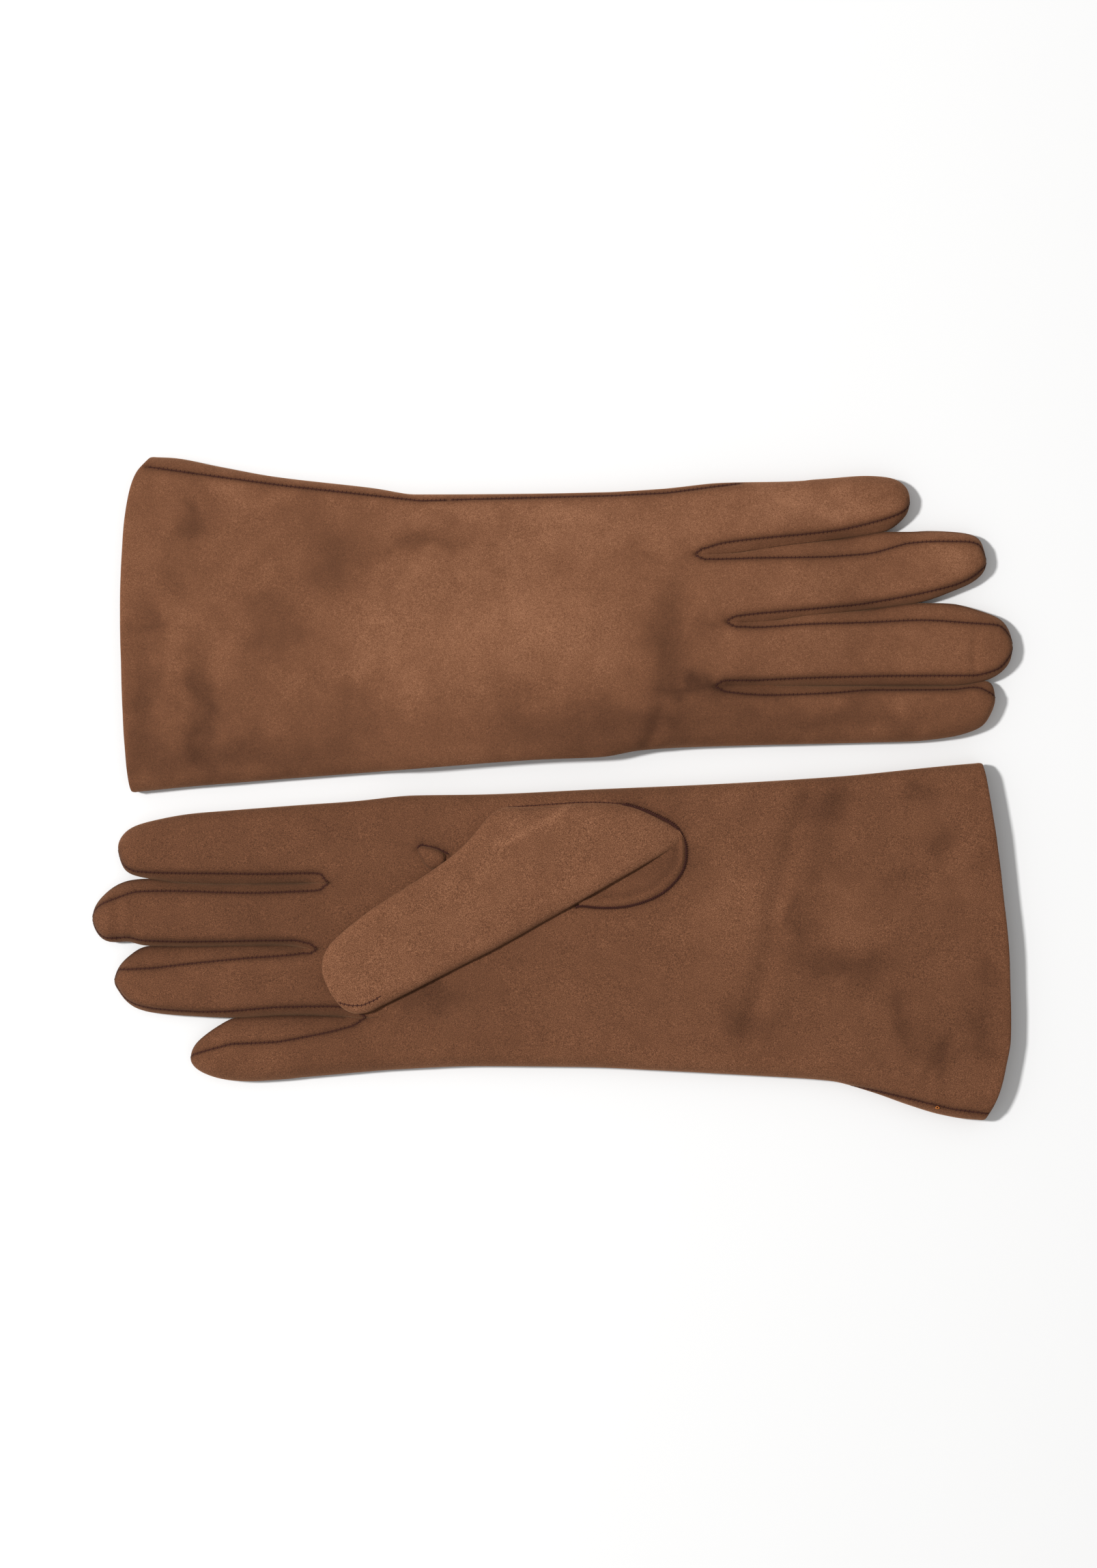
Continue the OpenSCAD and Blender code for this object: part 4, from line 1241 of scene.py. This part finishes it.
def make_thumb(glove):
    """The suede of the thumb: its pieces, and its surface as a tree."""
    points, faces, pieces = welded_mesh(f"{glove.side}_thumb_skin", thumb_skin(glove))
    rise = points[:, 2] - 2 * HAND_HALF if glove.side == RIGHT else PALM_UNDER - points[:, 2]
    move = uneven(points, THUMB_BUMPS) * np.clip(rise / 3, 0, 1)
    points = pushed_out(points, point_normals(points, faces), move)
    tone = np.full(len(points), THUMB_TONE[glove.side])
    if glove.side == RIGHT:
        # The right thumb is lighter along a line across it.
        tone = tone + 0.3 * bell(distance_to_line(points[:, :2], THUMB_LIGHTER_LINE), 1.2)
    made = cut_pieces(glove.side, ["thumb_base", "thumb"], points, faces, pieces, tone)
    return made, tree_of(points, faces)


def make_flap(glove, skin_tree):
    """The flap beside the thumb's foot, with painted shade along its seam and in the hollow inside its ridge.
    """
    points, faces, _ = welded_mesh(f"{glove.side}_flap", thumb_flap(glove, skin_tree))
    far = distance_to_line(points[:, :2], plan_line(glove, rounded(OVAL_LOW_ARC)))
    shade = 1 - 0.3 * bell(far, 0.7) - 0.22 * bell(far, 1.3, 4.0)
    return make_object(f"{glove.side}_thumb_flap_suede", points, faces, glove.side, SUEDE,
                       tone=tone_at(glove, points) * shade)


def make_quirk(glove, skin_tree):
    """The quirk, with painted shade round its edge and its middle painted a little lighter, as lit."""
    points, faces, _ = welded_mesh(f"{glove.side}_quirk_skin", quirk_skin(glove, skin_tree))
    far = distance_to_line(points[:, :2], plan_line(glove, QUIRK_EDGE + QUIRK_EDGE[:1]))
    shade = 1.06 - 0.5 * bell(far, 1.0)
    return make_object(f"{glove.side}_quirk_suede", points, faces, glove.side, SUEDE,
                       f"{glove.side}_quirk", tone=tone_at(glove, points) * shade)


def lining_rows(glove, i, face):
    """Lane i's rows of silk on a face, for the gauntlet, the hand and the finger."""
    gauntlet = [glove.row(i, face, mix(glove.cuff_u, GAUNTLET_END, share), False, share, LINING_IN)
                for share in np.linspace(0.12, 1, 18)]
    gauntlet += [glove.row(i, face, run, False, None, LINING_IN)
                 for run in np.linspace(GAUNTLET_END, HAND_START, 8)[1:]]
    hand = [glove.row(i, face, run, False, None, LINING_IN)
            for run in np.linspace(HAND_START, FINGER_START[i], 30)]
    finger = hand[-1:] + [glove.row(i, face, run, True, None, LINING_IN)
                          for run in np.linspace(FINGER_START[i], glove.end_run(i) - 4, 24)[1:]]
    return gauntlet, hand, finger


def make_linings(glove):
    """The silk inside the glove, split where the suede is."""
    rows = {(i, face): lining_rows(glove, i, face) for i in range(4) for face in (1, -1)}
    quads = {"gauntlet": one_piece(*(grids[0] for grids in rows.values())),
             "hand": one_piece(*(grids[1] for grids in rows.values())),
             "thumb": thumb_lining(glove)}
    for i, finger in enumerate(FINGERS):
        quads[finger] = one_piece(rows[i, 1][2], rows[i, -1][2])
    made = {}
    for part, part_quads in quads.items():
        name = f"{glove.side}_{part}_lining"
        points, faces, _ = welded_mesh(name, part_quads)
        made[f"{part}_lining"] = make_object(f"{name}_silk", points, faces, glove.side, SILK, name)
    return made


def blend_on(piece):
    """Bakes a piece's placing into its mesh."""
    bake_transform(piece)


def give_motion(glove, made):
    """Gives the hand's pieces the body that they ride on, and bakes the placing of the rest."""
    side, flip = glove.side, FLIP[glove.side]
    hand = f"{side}_hand"
    for name in ("hand", "thumb_base", "flap", "quirk", "hand_lining", "hand_stitching"):
        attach(made[name], hand)
    for name in ("gauntlet", "hem_facing", "gauntlet_lining", "gauntlet_stitching", "knot"):
        if name in made:
            blend_on(made[name])
    for finger, knuckle in zip(FINGERS, KNUCKLE_U):
        for name in [name for name in made if name.startswith(finger)]:
            blend_on(made[name])
    for name in ("thumb", "thumb_lining", "thumb_tip"):
        blend_on(made[name])


def build_glove(side):
    """All the pieces of one glove, and the body that the hand's pieces ride on."""
    glove = Glove(side)
    made, skin_tree = make_trank(glove)
    thumb, thumb_tree = make_thumb(glove)
    made.update(thumb)
    made["flap"] = make_flap(glove, skin_tree)
    made["quirk"] = make_quirk(glove, skin_tree)
    made.update(make_linings(glove))
    made["thumb_tip"] = thumb_tip_thread(glove, thumb_tree)
    if side == RIGHT:
        made["knot"] = knot(skin_tree, *SIDE_SEAM_KNOT)
    made.update(stitching(glove, skin_tree))
    give_motion(glove, made)


# ---- Camera, floor and light ----

VIEW_CENTRE = (-1.4, 1.6)
VIEW_HEIGHT = 551.0
LENS, SENSOR = 85.0, 36.0

# The floor, the lamp and the room, in metres and watts.
FLOOR_REACH = 2.5
KEY_PLACE, KEY_SIZE, KEY_POWER = (-1.71, 0.32, 2.25), 0.29, 87.5
ROOM_STRENGTH = 0.52


def make_camera():
    data = bpy.data.cameras.new("camera")
    data.lens = LENS
    data.sensor_width = SENSOR
    camera = bpy.data.objects.new("camera", data)
    camera.location = (VIEW_CENTRE[0] * MM, VIEW_CENTRE[1] * MM, VIEW_HEIGHT * LENS / SENSOR * MM)
    bpy.context.scene.collection.objects.link(camera)
    bpy.context.scene.camera = camera


def make_stage():
    mesh = bpy.data.meshes.new("floor")
    corners = [(-FLOOR_REACH, -FLOOR_REACH, 0), (FLOOR_REACH, -FLOOR_REACH, 0), (FLOOR_REACH, FLOOR_REACH, 0),
               (-FLOOR_REACH, FLOOR_REACH, 0)]
    mesh.from_pydata(corners, [], [(0, 1, 2, 3)])
    material, tree, _ = new_material("floor_white")
    set_shader(tree, Base_Color=(0.75, 0.748, 0.745, 1), Roughness=0.9, Specular_IOR_Level=0.1)
    mesh.materials.append(material)
    floor = bpy.data.objects.new("floor", mesh)
    bpy.context.scene.collection.objects.link(floor)


def make_light():
    """One soft lamp that points at the gloves, and an even white room."""
    data = bpy.data.lights.new("key", "AREA")
    data.size = KEY_SIZE
    data.energy = KEY_POWER
    light = bpy.data.objects.new("key", data)
    light.location = KEY_PLACE
    light.rotation_euler = (-Vector(KEY_PLACE)).to_track_quat("-Z", "Y").to_euler()
    bpy.context.scene.collection.objects.link(light)
    world = bpy.data.worlds.new("studio")
    world.use_nodes = True
    background = world.node_tree.nodes["Background"]
    set_inputs(world.node_tree, background, Color=(1, 1, 1, 1), Strength=ROOM_STRENGTH)
    bpy.context.scene.world = world
    bpy.context.scene.view_settings.view_transform = "Standard"


make_camera()
make_stage()
make_light()
for glove_side in (LEFT, RIGHT):
    build_glove(glove_side)
